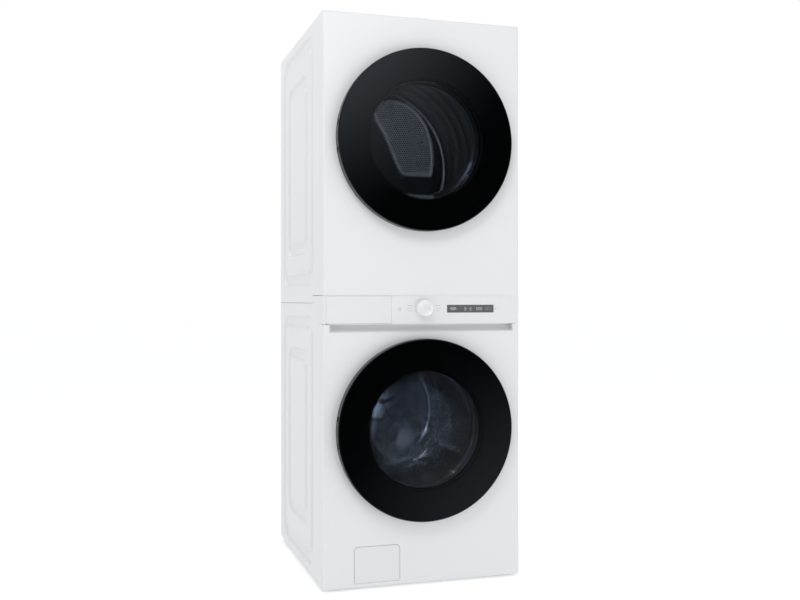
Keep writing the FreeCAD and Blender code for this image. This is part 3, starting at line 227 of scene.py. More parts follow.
def cast_metal(name, value, metallic=1.0, gloss=0.5):
    """Cast or painted metal with a sandy skin."""
    s = Shader(name)
    place = s.coords()
    sand = s.noise(place, 500.0, 4.0, 0.65)
    tone = s.ramp(s.noise(place, 25.0, 4.0), close_greys(value, 0.1 * value))
    rough = s.remap(sand, (0.3, 0.7), (gloss - 0.08, gloss + 0.1))
    return s.done(tone, rough, s.bump(sand, 0.5, 0.0003), Metallic=metallic)


def concrete(name):
    """Cast counterweight: pores and light aggregate."""
    s = Shader(name)
    place = s.coords()
    pores = s.node("ShaderNodeTexVoronoi", {"Vector": place, "Scale": 160.0})
    sand = s.noise(place, 320.0, 4.0, 0.7)
    tone = s.ramp(s.noise(place, 30.0, 5.0, 0.7), close_greys(0.34, 0.06, -0.03))
    height = s.math("ADD", sand, s.remap(pores, (0.0, 0.25), (0.0, 1.0)))
    return s.done(tone, 0.9, s.bump(height, 0.6, 0.0006))


def rubber(name, value, gloss=0.62):
    """Moulded rubber with a dusty bloom."""
    s = Shader(name)
    place = s.coords()
    bloom = s.noise(place, 45.0, 4.0, 0.6)
    skin = s.noise(place, 650.0, 3.0, 0.6)
    tone = s.ramp(bloom, close_greys(value, 0.12 * value))
    rough = s.remap(bloom, (0.3, 0.7), (gloss - 0.05, gloss + 0.1))
    return s.done(tone, rough, s.bump(skin, 0.35, 0.0002))


GLASS_TINT = (0.55, 0.59, 0.645)


def door_glass(name, axis, clarity):
    """Outer door glass: clear smoked middle that fades softly into a black printed border."""
    s = Shader(name)
    flat = s.coords((axis.x, 0, axis.z), (1, 0, 1))
    out = s.length(flat)
    haze = s.noise(s.coords(), 9.0, 4.0, 0.6)
    border = s.remap(out, (WINDOW_R - 0.008, WINDOW_R + 0.006), (0.0, 1.0), True)
    tone = s.ramp(haze, close_greys(0.0006, 0.0002, 0.2))
    rough = s.remap(haze, (0.3, 0.7), (0.06, 0.10))
    s.done(tone, rough, None, Specular_IOR_Level=0.5, Specular_Tint=(0.77, 0.88, 1.0, 1.0))
    clear = s.node("ShaderNodeBsdfTransparent", {0: tuple(clarity * part for part in GLASS_TINT) + (1.0,)})
    shine = s.node("ShaderNodeBsdfGlossy", {0: (1, 1, 1, 1), 1: 0.05})
    mirror = s.node("ShaderNodeFresnel", {0: 1.3})
    pane = s.node("ShaderNodeMixShader", {0: mirror, 1: clear, 2: shine})
    both = s.node("ShaderNodeMixShader", {0: border, 1: pane, 2: s.bsdf.outputs[0]})
    s.tree.links.new(both, s.out.inputs[0])
    return s.material


def clear_glass(name):
    """Pressed glass of the bowl and inner window."""
    s = Shader(name)
    haze = s.noise(s.coords(), 30.0, 3.0)
    tone = s.ramp(haze, close_greys(0.97, 0.008, 0.01))
    rough = s.remap(haze, (0.3, 0.7), (0.0, 0.006))
    return s.done(tone, rough, s.bump(s.noise(s.coords(), 14.0, 2.0), 0.03, 0.0004),
                  Transmission_Weight=1.0, IOR=1.47)


def woven_screen(name):
    """Fine woven lint screen: crossing threads with small dark gaps."""
    s = Shader(name)
    place = s.coords()
    x, _, z = s.split(place)
    pitch = math.tau / 0.0022
    warp = s.math("ABSOLUTE", s.math("SINE", s.math("MULTIPLY", x, pitch / 2)))
    weft = s.math("ABSOLUTE", s.math("SINE", s.math("MULTIPLY", z, pitch / 2)))
    thread = s.math("MAXIMUM", warp, weft)
    worn = s.noise(place, 55.0, 3.0)
    clean = s.ramp(thread, [(0.72, grey(0.07)), (0.94, grey(0.36, 0.01))])
    tone = s.mix(s.remap(worn, (0.3, 0.7), (0.0, 0.25)), clean, grey(0.22, 0.01))
    rough = s.remap(worn, (0.3, 0.7), (0.45, 0.6))
    return s.done(tone, rough, s.bump(thread, 0.6, 0.0003))


def spun_silver(name):
    """Silver paint over a turned face, with fine circular grain."""
    s = Shader(name)
    place = s.coords((KNOB_AXIS.x, 0, KNOB_AXIS.z))
    x, y, z = s.split(place)
    out = s.length(s.node("ShaderNodeVectorMath", {0: place, 1: (1, 0, 1)}, operation="MULTIPLY"))
    around = s.math("ARCTAN2", z, x)
    rings = s.node("ShaderNodeCombineXYZ", {0: s.math("MULTIPLY", around, 0.6), 1: y,
                                            2: s.math("MULTIPLY", out, 7000.0)})
    grain = s.noise(rings, 1.0, 3.0, 0.6)
    tone = s.ramp(grain, close_greys(0.93, 0.008, 0.008))
    rough = s.remap(grain, (0.3, 0.7), (0.24, 0.34))
    tangent = s.node("ShaderNodeTangent", direction_type="RADIAL", axis="Y")
    s.put(s.bsdf.inputs["Tangent"], tangent)
    return s.done(tone, rough, s.bump(grain, 0.05, 0.00004), Metallic=0.30, Anisotropic=0.75)


# The function that makes each finish, and the values that it is given after the name.
FINISHES = {
    "white_powder_coat": (powder_coat, 0.79, 0.012),
    "white_moulding": (moulded, 0.78, 0.012, 0.34, 1100.0),
    "tray_moulding": (moulded, 0.66, 0.03, 0.42, 700.0, 0.0002),
    "zinc_sheet": (galvanised, 0.62),
    "screw_zinc": (cast_metal, 0.55, 1.0, 0.32),
    "hinge_black": (cast_metal, 0.018, 0.3, 0.4),
    "black_satin": (moulded, 0.006, 0.05, 0.34, 900.0, 0.00006, 0.2),
    "washer_glass": (door_glass, WASHER_AXIS, 0.87),
    "dryer_glass": (door_glass, DRYER_AXIS, 1.04),
    "bowl_glass": (clear_glass,),
    "frame_moulding": (moulded, 0.035, 0.04, 0.38, 800.0),
    "drum_stainless": (brushed, 0.62, (120.0, 14.0, 900.0), 0.13, WASHER_AXIS),
    "dryer_steel": (brushed, 0.36, (90.0, 10.0, 700.0), 0.42, DRYER_AXIS),
    "grey_gasket": (rubber, 0.16, 0.5),
    "dark_rubber": (rubber, 0.022, 0.7),
    "pump_moulding": (moulded, 0.05, 0.05, 0.45),
    "tub_moulding": (moulded, 0.30, 0.03, 0.5, 500.0, 0.0003),
    "concrete": (concrete,),
    "cast_aluminium": (cast_metal, 0.58, 1.0, 0.45),
    "motor_iron": (cast_metal, 0.12, 0.6, 0.45),
    "filter_moulding": (moulded, 0.09, 0.10, 0.4),
    "valve_moulding": (moulded, 0.42, -0.02, 0.42),
    "smoked_strip": (moulded, 0.13, 0.02, 0.22, 1400.0, 0.00005),
    "lint_mesh": (woven_screen,),
    "bulkhead_steel": (cast_metal, 0.05, 0.3, 0.6),
    "inlet_steel": (cast_metal, 0.78, 0.35, 0.42),
    # Near-black finish of the sheet behind the inlet grille: painted shade for the duct behind the holes.
    "inlet_dark": (moulded, 0.012, 0.05, 0.7),
    "knob_metal": (spun_silver,),
    "print_grey": (moulded, 0.42, 0.02, 0.5),
    "print_light": (moulded, 0.62, 0.04, 0.5),
}

NODE_FINISH = {
    "white_powder_coat": ["washer_cabinet", "dryer_cabinet", "washer_front_panel", "dryer_front_panel",
                          "top_cover"],
    "white_moulding": ["console_panel", "drawer_front", "power_key", "start_key", "filter_cover", "knob"],
    "tray_moulding": ["drawer_tray", "dispenser_housing"],
    "zinc_sheet": ["washer_base", "dryer_deck", "rear_covers", "air_ducts", "door_latches"],
    "screw_zinc": ["cabinet_screws", "tub_springs"],
    "hinge_black": ["door_hinges"],
    "black_satin": ["washer_door_ring", "dryer_door_ring"],
    "washer_glass": ["washer_door_glass"],
    "dryer_glass": ["dryer_door_glass"],
    "bowl_glass": ["washer_door_bowl", "dryer_door_window"],
    "frame_moulding": ["washer_door_frame", "dryer_door_frame", "dryer_front_bulkhead"],
    "drum_stainless": ["washer_drum", "washer_lifters"],
    "dryer_steel": ["dryer_drum", "dryer_lifters"],
    "bulkhead_steel": ["dryer_rear_bulkhead"],
    "grey_gasket": ["door_gasket"],
    "dark_rubber": ["drum_belt", "foot_front_left", "foot_front_right", "foot_rear_left", "foot_rear_right"],
    "pump_moulding": ["drain_pump", "damper_cylinders", "damper_rods", "drum_roller_left",
                      "drum_roller_right", "idler_pulley", "blower_wheel"],
    "tub_moulding": ["tub_front", "tub_rear"],
    "concrete": ["counterweight"],
    "cast_aluminium": ["drum_spider"],
    "motor_iron": ["stator", "rotor", "dryer_motor", "motor_pulley"],
    "filter_moulding": ["pump_filter"],
    "valve_moulding": ["water_inlet_valves"],
    "smoked_strip": ["display_module"],
    "lint_mesh": ["lint_filter"],
}

FINISH = {}


def finish(name):
    """The material of that name, made once."""
    if name not in FINISH:
        maker, *values = FINISHES[name]
        FINISH[name] = maker(name, *values)
    return FINISH[name]


def dress(thing, material):
    thing.data.materials.clear()
    thing.data.materials.append(material)


for finish_name, members in NODE_FINISH.items():
    for member in members:
        dress(cad_nodes[member], finish(finish_name))

for glass in ("washer_door_glass", "washer_door_bowl", "dryer_door_glass", "dryer_door_window"):
    cad_nodes[glass].visible_shadow = False


# ---------------------------------------------------------------- mesh helpers

def at(x, depth, z):
    """Point at a depth behind the front face."""
    return (x, FRONT + depth, z)


def build(name, points, faces, body, slot, finish_name, sharp=35.0):
    """Piece made from points and faces, smooth except over sharp edges, riding on a body if one is named."""
    mesh = bpy.data.meshes.new(name)
    mesh.from_pydata(points, [], faces)
    mesh.validate()
    work = bmesh.new()
    work.from_mesh(mesh)
    bmesh.ops.remove_doubles(work, verts=work.verts, dist=1e-6)
    bmesh.ops.recalc_face_normals(work, faces=work.faces)
    work.to_mesh(mesh)
    work.free()
    mesh.shade_smooth()
    mesh.set_sharp_from_angle(angle=math.radians(sharp))
    thing = bpy.data.objects.new(name, mesh)
    bpy.context.scene.collection.objects.link(thing)
    dress(thing, finish(finish_name))
    if body:
        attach(thing, body)
    return thing


def lathed(profile, axis, count, closed=False):
    """Points and faces of a profile of (radius, depth) turned round an axis along Y."""
    points = []
    for radius, depth in profile:
        for step in range(count):
            turn = math.tau * step / count
            points.append(at(axis.x + radius * math.cos(turn), depth, axis.z + radius * math.sin(turn)))
    faces = []
    rings = len(profile)
    for ring in range(rings if closed else rings - 1):
        here = ring * count
        there = (ring + 1) % rings * count
        for step in range(count):
            after = (step + 1) % count
            faces.append((here + step, here + after, there + after, there + step))
    return points, faces


def loop_faces(loops, count):
    """Faces between closed loops of points that follow one another."""
    return [(ring * count + k, ring * count + (k + 1) % count, (ring + 1) * count + (k + 1) % count,
             (ring + 1) * count + k) for ring in range(loops - 1) for k in range(count)]


def joined(parts):
    """Several (points, faces) pairs as one."""
    points = []
    faces = []
    for more_points, more_faces in parts:
        first = len(points)
        points += more_points
        faces += [tuple(first + corner for corner in face) for face in more_faces]
    return points, faces


CELL_RIM = [(0, 0), (0.25, 0), (0.5, 0), (0.75, 0), (1, 0), (1, 0.5),
            (1, 1), (0.75, 1), (0.5, 1), (0.25, 1), (0, 1), (0, 0.5)]


class Sheet:
    """Flat pattern of quads and pierced cells; a point that two cells share is made once."""

    def __init__(self, wrap=None):
        self.wrap = wrap
        self.flat = []
        self.index = {}
        self.faces = []

    def point(self, u, v, lift=0.0):
        if self.wrap and u > self.wrap - 1e-6:
            u -= self.wrap
        key = (round(u, 6), round(v, 6))
        if key not in self.index:
            self.index[key] = len(self.flat)
            self.flat.append((u, v, lift))
        return self.index[key]

    def pierce(self, corner, size, lifts):
        """One cell round a hole; lifts are (radius, height) of rings, down to the hole's edge."""
        rim = [(corner[0] + a * size[0], corner[1] + b * size[1]) for a, b in CELL_RIM]
        middle = (corner[0] + size[0] / 2, corner[1] + size[1] / 2)
        loops = [[self.point(u, v) for u, v in rim]]
        for radius, lift in lifts:
            loop = []
            for u, v in rim:
                turn = math.atan2(v - middle[1], u - middle[0])
                loop.append(self.point(middle[0] + radius * math.cos(turn),
                                       middle[1] + radius * math.sin(turn), lift))
            loops.append(loop)
        for outer, inner in zip(loops, loops[1:]):
            for k in range(12):
                after = (k + 1) % 12
                self.faces.append((outer[k], outer[after], inner[after], inner[k]))

    def band(self, columns, step, v0, v1):
        for column in range(columns):
            near = column * step
            far = near + step
            self.faces.append((self.point(near, v0), self.point(far, v0),
                               self.point(far, v1), self.point(near, v1)))


def smooth_step(value):
    value = min(max(value, 0.0), 1.0)
    return value * value * (3 - 2 * value)


# ---------------------------------------------------------------- washer drum

DRUM_R = radius_of("washer_drum")
DRUM_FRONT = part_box("washer_drum")[0].y - FRONT
DRUM_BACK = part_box("washer_drum")[1].y - FRONT
DRUM_SKIN = 0.0012
DRUM_COLUMNS = 66
DRUM_ROWS = 22
DRUM_DOME = ((0.0090, 0.0006), (0.0062, 0.0034), (0.0022, 0.0040))
PETAL_MIDDLE = (0.125, -0.1115)
PETAL_ALONG = (0.480, 0.878)
PETAL_HALF = (0.106, 0.038)
RIB_TURN = math.radians(21.0)
RIB_HALF = 0.024
HUB_HEIGHT = 0.013
PETAL_HEIGHT = 0.019
RIB_HEIGHT = 0.010


def petal_height(x, z):
    """Height that the three petals, the three ribs and the hub stand in front of the drum's back."""
    height = HUB_HEIGHT * smooth_step((0.046 - math.hypot(x, z)) / 0.012)
    for turn in (0, math.tau / 3, 2 * math.tau / 3):
        px = x * math.cos(turn) + z * math.sin(turn)
        pz = z * math.cos(turn) - x * math.sin(turn)
        dx = px - PETAL_MIDDLE[0]
        dz = pz - PETAL_MIDDLE[1]
        along = (dx * PETAL_ALONG[0] + dz * PETAL_ALONG[1]) / PETAL_HALF[0]
        across = (dx * PETAL_ALONG[1] - dz * PETAL_ALONG[0]) / PETAL_HALF[1]
        wide = 1 - along * along
        if wide > 0:
            slope = (across + wide) / 2
            crest = smooth_step((wide - across) / 0.30)
            height = max(height, PETAL_HEIGHT * slope * crest * (slope > 0))
        out = px * math.cos(RIB_TURN) + pz * math.sin(RIB_TURN)
        aside = abs(pz * math.cos(RIB_TURN) - px * math.sin(RIB_TURN))
        inside = smooth_step((out - 0.012) / 0.03) * smooth_step((0.178 - out) / 0.03)
        height = max(height, RIB_HEIGHT * inside * smooth_step((RIB_HALF - aside) / 0.014))
    return height


def drum_profile():
    """Rolled mouth, front wall, barrel and rear corner as (path, radius, depth)."""
    skin = DRUM_SKIN
    mouth = 0.2062
    return [(-0.080, mouth + 0.0022, DRUM_FRONT + 0.0058), (-0.076, mouth, DRUM_FRONT + 0.0058),
            (-0.073, mouth - 0.0004, DRUM_FRONT + 0.0030), (-0.070, mouth + 0.0012, DRUM_FRONT + skin),
            (-0.060, DRUM_R - 0.046, DRUM_FRONT + 0.0030), (-0.040, DRUM_R - 0.020, DRUM_FRONT + skin),
            (-0.020, DRUM_R - 0.007, DRUM_FRONT + 0.0050), (-0.010, DRUM_R - skin, DRUM_FRONT + 0.0150),
            (0.0, DRUM_R - skin, DRUM_FRONT + 0.0300)]


def washer_drum():
    """Stainless drum: embossed pierced barrel, rolled mouth and a back with pressed petals."""
    around = math.tau * DRUM_R
    cell = around / DRUM_COLUMNS
    quarter = cell / 4
    columns = 4 * DRUM_COLUMNS
    length = DRUM_BACK - 0.012 - (DRUM_FRONT + 0.030)
    row = length / DRUM_ROWS
    sheet = Sheet(around)
    front = drum_profile()
    for near, far in zip(front, front[1:]):
        sheet.band(columns, quarter, near[0], far[0])
    for r in range(DRUM_ROWS):
        for c in range(DRUM_COLUMNS):
            corner = (cell * (c + 0.5 * (r % 2)), row * r)
            sheet.pierce(corner, (cell, row), DRUM_DOME)
    skin = DRUM_SKIN
    rear = [(length, DRUM_R - skin, DRUM_BACK - 0.012), (length + 0.004, DRUM_R - 0.003, DRUM_BACK - 0.006),
            (length + 0.008, DRUM_R - 0.007, DRUM_BACK - skin - 0.001)]
    rings = 54
    start = DRUM_R - 0.0105
    rear += [(length + 0.010 + 0.004 * k, start * (1 - k / rings) + 0.0004, DRUM_BACK - skin)
             for k in range(rings + 1)]
    for near, far in zip(rear, rear[1:]):
        sheet.band(columns, quarter, near[0], far[0])
    paths = [p[0] for p in front + rear]
    radii = [p[1] for p in front + rear]
    depths = [p[2] for p in front + rear]
    points = []
    for u, v, lift in sheet.flat:
        radius = float(np.interp(v, paths, radii)) - lift
        depth = float(np.interp(v, paths, depths))
        turn = u / DRUM_R
        x = radius * math.cos(turn)
        z = radius * math.sin(turn)
        if v > length + 0.009:
            edge = smooth_step((start - radius) / 0.012)
            depth -= edge * petal_height(x, z) + 0.004 * edge * smooth_step((radius - 0.214) / 0.010)
        points.append(at(WASHER_AXIS.x + x, depth, WASHER_AXIS.z + z))
    drum = build("wash_drum_shell", points, sheet.faces, "wash_drum", "stainless_steel", "drum_stainless", 60)
    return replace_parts(drum, "washer_drum")


def ridges(axis, radius, depths, height, width, count=3, along=44, across=20):
    """Smooth paddles on the inside of a drum, with a low crest and rounded ends."""
    parts = []
    for paddle in range(count):
        middle = math.pi / 2 + math.tau * paddle / count
        points = []
        for i in range(along + 1):
            s = i / along
            ends = smooth_step(s / 0.16) * smooth_step((1 - s) / 0.16)
            for j in range(across + 1):
                t = 2 * j / across - 1
                crest = smooth_step((1 - abs(t)) / 0.85)
                out = radius + 0.0008 - (height + 0.0008) * crest * (0.06 + 0.94 * ends)
                turn = middle + t * width / 2 / radius
                points.append(at(axis.x + out * math.cos(turn), depths[0] + s * (depths[1] - depths[0]),
                                 axis.z + out * math.sin(turn)))
        row = across + 1
        faces = [(i * row + j, i * row + j + 1, (i + 1) * row + j + 1, (i + 1) * row + j)
                 for i in range(along) for j in range(across)]
        parts.append((points, faces))
    return joined(parts)


def node_depths(node):
    low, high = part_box(node)
    return low.y - FRONT, high.y - FRONT


washer_drum()
shape = ridges(WASHER_AXIS, DRUM_R - DRUM_SKIN, node_depths("washer_lifters"), 0.058, 0.082)
paddles = build("wash_drum_paddles", *shape, "wash_drum", "stainless_steel", "drum_stainless", 60)
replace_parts(paddles, "washer_lifters")


# ---------------------------------------------------------------- bellows and springs between the cabinet and the tub

def rounded_path(corners, radius, steps=5):
    """Open path through the corners, with each corner cut by a soft curve."""
    path = [np.array(corners[0])]
    for before, corner, after in zip(corners, corners[1:], corners[2:]):
        before, corner, after = (np.array(p) for p in (before, corner, after))
        near = corner + radius * (before - corner) / np.linalg.norm(before - corner)
        far = corner + radius * (after - corner) / np.linalg.norm(after - corner)
        for step in range(steps + 1):
            t = step / steps
            path.append(near * (1 - t) ** 2 + 2 * corner * t * (1 - t) + far * t ** 2)
    return path + [np.array(corners[-1])]


def thickened(path, thick):
    """Closed outline of a strip of even thickness along a path."""
    sides = []
    for k, point in enumerate(path):
        along = path[min(k + 1, len(path) - 1)] - path[max(k - 1, 0)]
        out = np.array((along[1], -along[0])) / np.linalg.norm(along) * thick / 2
        sides.append((tuple(point + out), tuple(point - out)))
    return [a for a, b in sides] + [b for a, b in sides[::-1]]


def door_bellows():
    """Folded rubber gasket, from its front lip at the door opening back to the tub."""
    corners = [(0.2075, 0.0222), (0.2364, 0.0222), (0.2364, 0.0350), (0.2156, 0.0350), (0.2156, 0.0446),
               (0.2364, 0.0446), (0.2364, 0.0574), (0.2197, 0.0574), (0.2197, 0.0815)]
    profile = thickened(rounded_path(corners, 0.0042), 0.0028)
    shape = lathed(profile, WASHER_AXIS, 144, True)
    bellows = build("door_bellows", *shape, None, "grey_rubber", "grey_gasket", 50)
    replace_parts(bellows, "door_gasket")
    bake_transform(bellows)


def hanging_springs():
    """Two wound springs between the cabinet's hangers and the tub."""
    low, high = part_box("tub_springs")
    middle = (low + high) / 2
    wire = 0.0014
    outer = (high.y - low.y) / 2
    coil = outer - wire
    turns = 26
    steps = turns * 18
    parts = []
    for side_x in (low.x + outer, high.x - outer):
        points = []
        for k in range(steps + 1):
            turn = math.tau * turns * k / steps
            z = low.z + wire + (high.z - low.z - 2 * wire) * k / steps
            for j in range(6):
                around = math.tau * j / 6
                out = coil + wire * math.cos(around)
                points.append((side_x + out * math.cos(turn), middle.y + out * math.sin(turn),
                               z + wire * math.sin(around)))
        faces = [(6 * k + j, 6 * k + (j + 1) % 6, 6 * k + 6 + (j + 1) % 6, 6 * k + 6 + j)
                 for k in range(steps) for j in range(6)]
        faces += [tuple(range(6)), tuple(6 * steps + j for j in range(6))]
        parts.append((points, faces))
    springs = build("hanging_springs", *joined(parts), None, "screw_steel", "screw_zinc", 60)
    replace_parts(springs, "tub_springs")
    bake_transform(springs)


door_bellows()
hanging_springs()


# ---------------------------------------------------------------- dryer drum and its air inlet

DRY_R = radius_of("dryer_drum")
DRY_FRONT, DRY_BACK = node_depths("dryer_drum")


def dryer_drum():
    """Plain drum wall with rolled beads and turned-in edges."""
    wall = DRY_R - DRUM_SKIN
    lip = DRY_R - 0.010
    profile = [(lip, DRY_FRONT + 0.0014), (lip + 0.004, DRY_FRONT), (wall - 0.003, DRY_FRONT),
               (wall, DRY_FRONT + 0.004)]
    for bead in np.linspace(DRY_FRONT + 0.05, DRY_BACK - 0.05, 8):
        profile += [(wall, bead - 0.010), (wall - 0.0025, bead - 0.005), (wall - 0.0034, bead),
                    (wall - 0.0025, bead + 0.005), (wall, bead + 0.010)]
    profile += [(wall, DRY_BACK - 0.004), (wall - 0.003, DRY_BACK), (lip + 0.004, DRY_BACK),
                (lip, DRY_BACK - 0.0014), (lip + 0.004, DRY_BACK - 0.0028)]
    outside = [(DRY_R, DRY_BACK - 0.006), (DRY_R, DRY_FRONT + 0.006), (lip + 0.004, DRY_FRONT + 0.0028)]
    shape = lathed(profile + outside, DRYER_AXIS, 160, True)
    drum = build("drying_drum_shell", *shape, "drying_drum", "drum_steel", "dryer_steel", 50)
    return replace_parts(drum, "dryer_drum")


INLET_DEPTH = DRY_BACK - 0.004
INLET_CORNERS = [(0.256, -0.020), (0.262, 0.045), (0.254, 0.115), (0.226, 0.185), (0.180, 0.238),
                 (0.118, 0.266), (0.050, 0.262), (0.012, 0.232), (0.030, 0.185), (0.058, 0.138),
                 (0.080, 0.092), (0.100, 0.044), (0.120, 0.000), (0.136, -0.020), (0.150, -0.025),
                 (0.195, -0.026), (0.240, -0.026)]
INLET_STEPS = 8


def smooth_loop(corners, steps):
    """Closed smooth curve through the corners."""
    points = []
    count = len(corners)
    for k in range(count):
        p0, p1, p2, p3 = (np.array(corners[(k + shift) % count]) for shift in (-1, 0, 1, 2))
        for step in range(steps):
            t = step / steps
            points.append((2 * p1 + (p2 - p0) * t + (2 * p0 - 5 * p1 + 4 * p2 - p3) * t ** 2
                           + (3 * p1 - p0 - 3 * p2 + p3) * t ** 3) / 2)
    return points


def inlet_outline(grow):
    """Points round the hot-air inlet, grown outwards."""
    loop = smooth_loop(INLET_CORNERS, INLET_STEPS)
    count = len(loop)
    grown = []
    for k, point in enumerate(loop):
        along = loop[(k + 1) % count] - loop[k - 1]
        out = np.array((along[1], -along[0])) / np.linalg.norm(along)
        grown.append(tuple(point + grow * out))
    return grown


def inside(u, v, loop):
    """Whether a point is inside a closed loop."""
    odd = False
    for (x0, z0), (x1, z1) in zip(loop, loop[1:] + loop[:1]):
        if (z0 > v) != (z1 > v) and u < x0 + (v - z0) * (x1 - x0) / (z1 - z0):
            odd = not odd
    return odd


def grille_plate():
    """Pierced steel plate over the hot-air inlet: rows of round holes inside the outline."""
    sheet = Sheet()
    cell = 0.0092
    row = 0.0080
    edge = inlet_outline(0.004)
    for r in range(-4, 36):
        for c in range(0, 30):
            low = row * r
            left = cell * (c + 0.5 * (r % 2))
            corners = [(left, low), (left + cell, low), (left + cell, low + row), (left, low + row)]
            if all(inside(u, v, edge) for u, v in corners):
                sheet.pierce((left, low), (cell, row), ((0.0033, 0.0), (0.0027, 0.0006)))
    points = [at(DRYER_AXIS.x + u, INLET_DEPTH + lift, DRYER_AXIS.z + v) for u, v, lift in sheet.flat]
    return build("air_inlet_plate", points, sheet.faces, "cabinet", "drum_steel", "inlet_steel", 60)


def inlet_frame():
    """Raised rim that holds the pierced plate, and a flat near-black sheet behind it: painted shade standing
    in for the unlit duct.
    """
    levels = [(-0.0085, 0.0004), (-0.0080, -0.0018), (-0.0050, -0.0036), (0.0010, -0.0040), (0.0045, -0.0022),
              (0.0065, 0.0022), (0.0075, 0.0092)]
    loops = [[at(DRYER_AXIS.x + x, INLET_DEPTH + rise, DRYER_AXIS.z + z) for x, z in inlet_outline(grow)]
             for grow, rise in levels]
    points = [p for loop in loops for p in loop]
    faces = loop_faces(len(loops), len(loops[0]))
    rim = build("air_inlet_rim", points, faces, "cabinet", "drum_steel", "inlet_steel", 40)
    # Flat near-black sheet behind the holes: painted shade, standing in for the dark of the duct.
    back = [at(DRYER_AXIS.x + x, INLET_DEPTH + 0.0085, DRYER_AXIS.z + z) for x, z in inlet_outline(0.006)]
    whole = [tuple(range(len(back)))]
    dark = build("air_inlet_painted_shade", back, whole, "cabinet", "frame_plastic", "inlet_dark")
    return rim, dark


dryer_drum()
grille_plate()
inlet_frame()
shape = ridges(DRYER_AXIS, DRY_R - DRUM_SKIN, node_depths("dryer_lifters"), 0.074, 0.100)
blades = build("drying_drum_paddles", *shape, "drying_drum", "drum_steel", "dryer_steel", 60)
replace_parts(blades, "dryer_lifters")


# ---------------------------------------------------------------- selector knob and printed marks

KNOB_R = radius_of("knob")
KNOB_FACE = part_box("knob")[0].y - FRONT


def selector_knob():
    """Turned cap with a bevelled rim, a dished face and a shaft."""
    face = KNOB_FACE
    profile = [(0.0, face + 0.0026), (0.006, face + 0.0025), (0.014, face + 0.0018), (0.020, face + 0.0010),
               (0.0228, face + 0.0004), (0.0240, face), (KNOB_R - 0.0042, face),
               (KNOB_R - 0.0026, face + 0.0004), (KNOB_R - 0.0016, face + 0.0014),
               (KNOB_R - 0.0010, face + 0.0030), (KNOB_R - 0.0004, -0.0060), (KNOB_R, -0.0040),
               (KNOB_R, -0.0014), (KNOB_R - 0.0006, -0.0010), (0.0030, -0.0010), (0.0030, 0.0130),
               (0.0, 0.0130)]
    shape = lathed(profile, KNOB_AXIS, 96)
    knob = build("knob_cap", *shape, "selector_knob", "knob_silver", "knob_metal", 30)
    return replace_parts(knob, "knob")


PRINT_RISE = 0.00025


def mark(x, z, width, height, rise=PRINT_RISE, face=0.0):
    """Thin printed bar with rounded ends."""
    radius = min(width, height) / 2
    half_x = width / 2 - radius
    half_z = height / 2 - radius
    corners = []
    for quarter in range(4):
        side_x = half_x if quarter in (0, 3) else -half_x
        side_z = half_z if quarter in (0, 1) else -half_z
        for step in range(5):
            turn = math.pi / 2 * (quarter + step / 4)
            corners.append((x + side_x + radius * math.cos(turn), z + side_z + radius * math.sin(turn)))
    front = [at(px, face - rise, pz) for px, pz in corners]
    back = [at(px, face + 0.0002, pz) for px, pz in corners]
    count = len(corners)
    sides = [(k, (k + 1) % count, count + (k + 1) % count, count + k) for k in range(count)]
    return front + back, [tuple(range(count))] + sides


def ring_mark(x, z, radius, width, rise=PRINT_RISE, face=0.0, span=(0.0, 1.0), count=28):
    """Thin printed ring, or part of one."""
    points = []
    turns = [math.tau * (span[0] + (span[1] - span[0]) * k / count) for k in range(count + 1)]
    for out in (radius - width / 2, radius + width / 2):
        points += [at(x + out * math.sin(t), face - rise, z + out * math.cos(t)) for t in turns]
    row = count + 1
    return points, [(k, k + 1, row + k + 1, row + k) for k in range(count)]


def console_prints():
    """Dots round the knob and small plain bars beside it."""
    parts = []
    dot = 0.0011
    radius = KNOB_R + 0.0058
    for step in range(-5, 6):
        turn = math.radians(step * 27.0)
        x = KNOB_AXIS.x + radius * math.sin(turn)
        parts.append(mark(x, KNOB_AXIS.z + radius * math.cos(turn), dot, dot))
    for row, wide in enumerate((0.016, 0.020, 0.015)):
        height = KNOB_AXIS.z + 0.0090 - 0.0090 * row
        parts.append(mark(KNOB_AXIS.x - 0.0410 - wide / 2, height, wide, 0.0012))
        parts.append(mark(KNOB_AXIS.x + 0.0410 + wide / 2, height, wide * 0.9, 0.0012))
    return build("console_prints", *joined(parts), "cabinet", "frame_plastic", "print_grey", 20)


selector_knob()
console_prints()


# ---------------------------------------------------------------- hinge plates, display signs

def hinge_plate(name, axis):
    """Black plate on the front panel behind a door's hinge arms."""
    outer = 0.3000
    inner = 0.2790
    turns = np.linspace(math.radians(165.5), math.radians(194.5), 25)
    outline = [(outer * math.cos(t), outer * math.sin(t)) for t in turns]
    outline += [(inner * math.cos(t), inner * math.sin(t)) for t in turns[::-1]]
    levels = [(1.0, -0.0002), (1.0, -0.0008), (0.998, -0.0012)]
    points = [at(axis.x + x * scale, depth, axis.z + z * scale)
              for scale, depth in levels for x, z in outline]
    count = len(outline)
    faces = loop_faces(len(levels), count)
    half = count // 2
    top = 2 * count
    faces += [(top + k, top + k + 1, top + count - 2 - k, top + count - 1 - k) for k in range(half - 1)]
    return build(name, points, faces, "cabinet", "screw_steel", "hinge_black", 30)


hinge_plate("washer_hinge_plate", WASHER_AXIS)
hinge_plate("dryer_hinge_plate", DRYER_AXIS)


def strip_face():
    """Lowest and highest corners of the display strip's front face."""
    corners = [v.co for v in cad_nodes["display_module"].data.vertices if v.co.y < FRONT + 0.0005]
    low = Vector([min(c[axis] for c in corners) for axis in range(3)])
    high = Vector([max(c[axis] for c in corners) for axis in range(3)])
    return low, high


STRIP_LOW, STRIP_HIGH = strip_face()


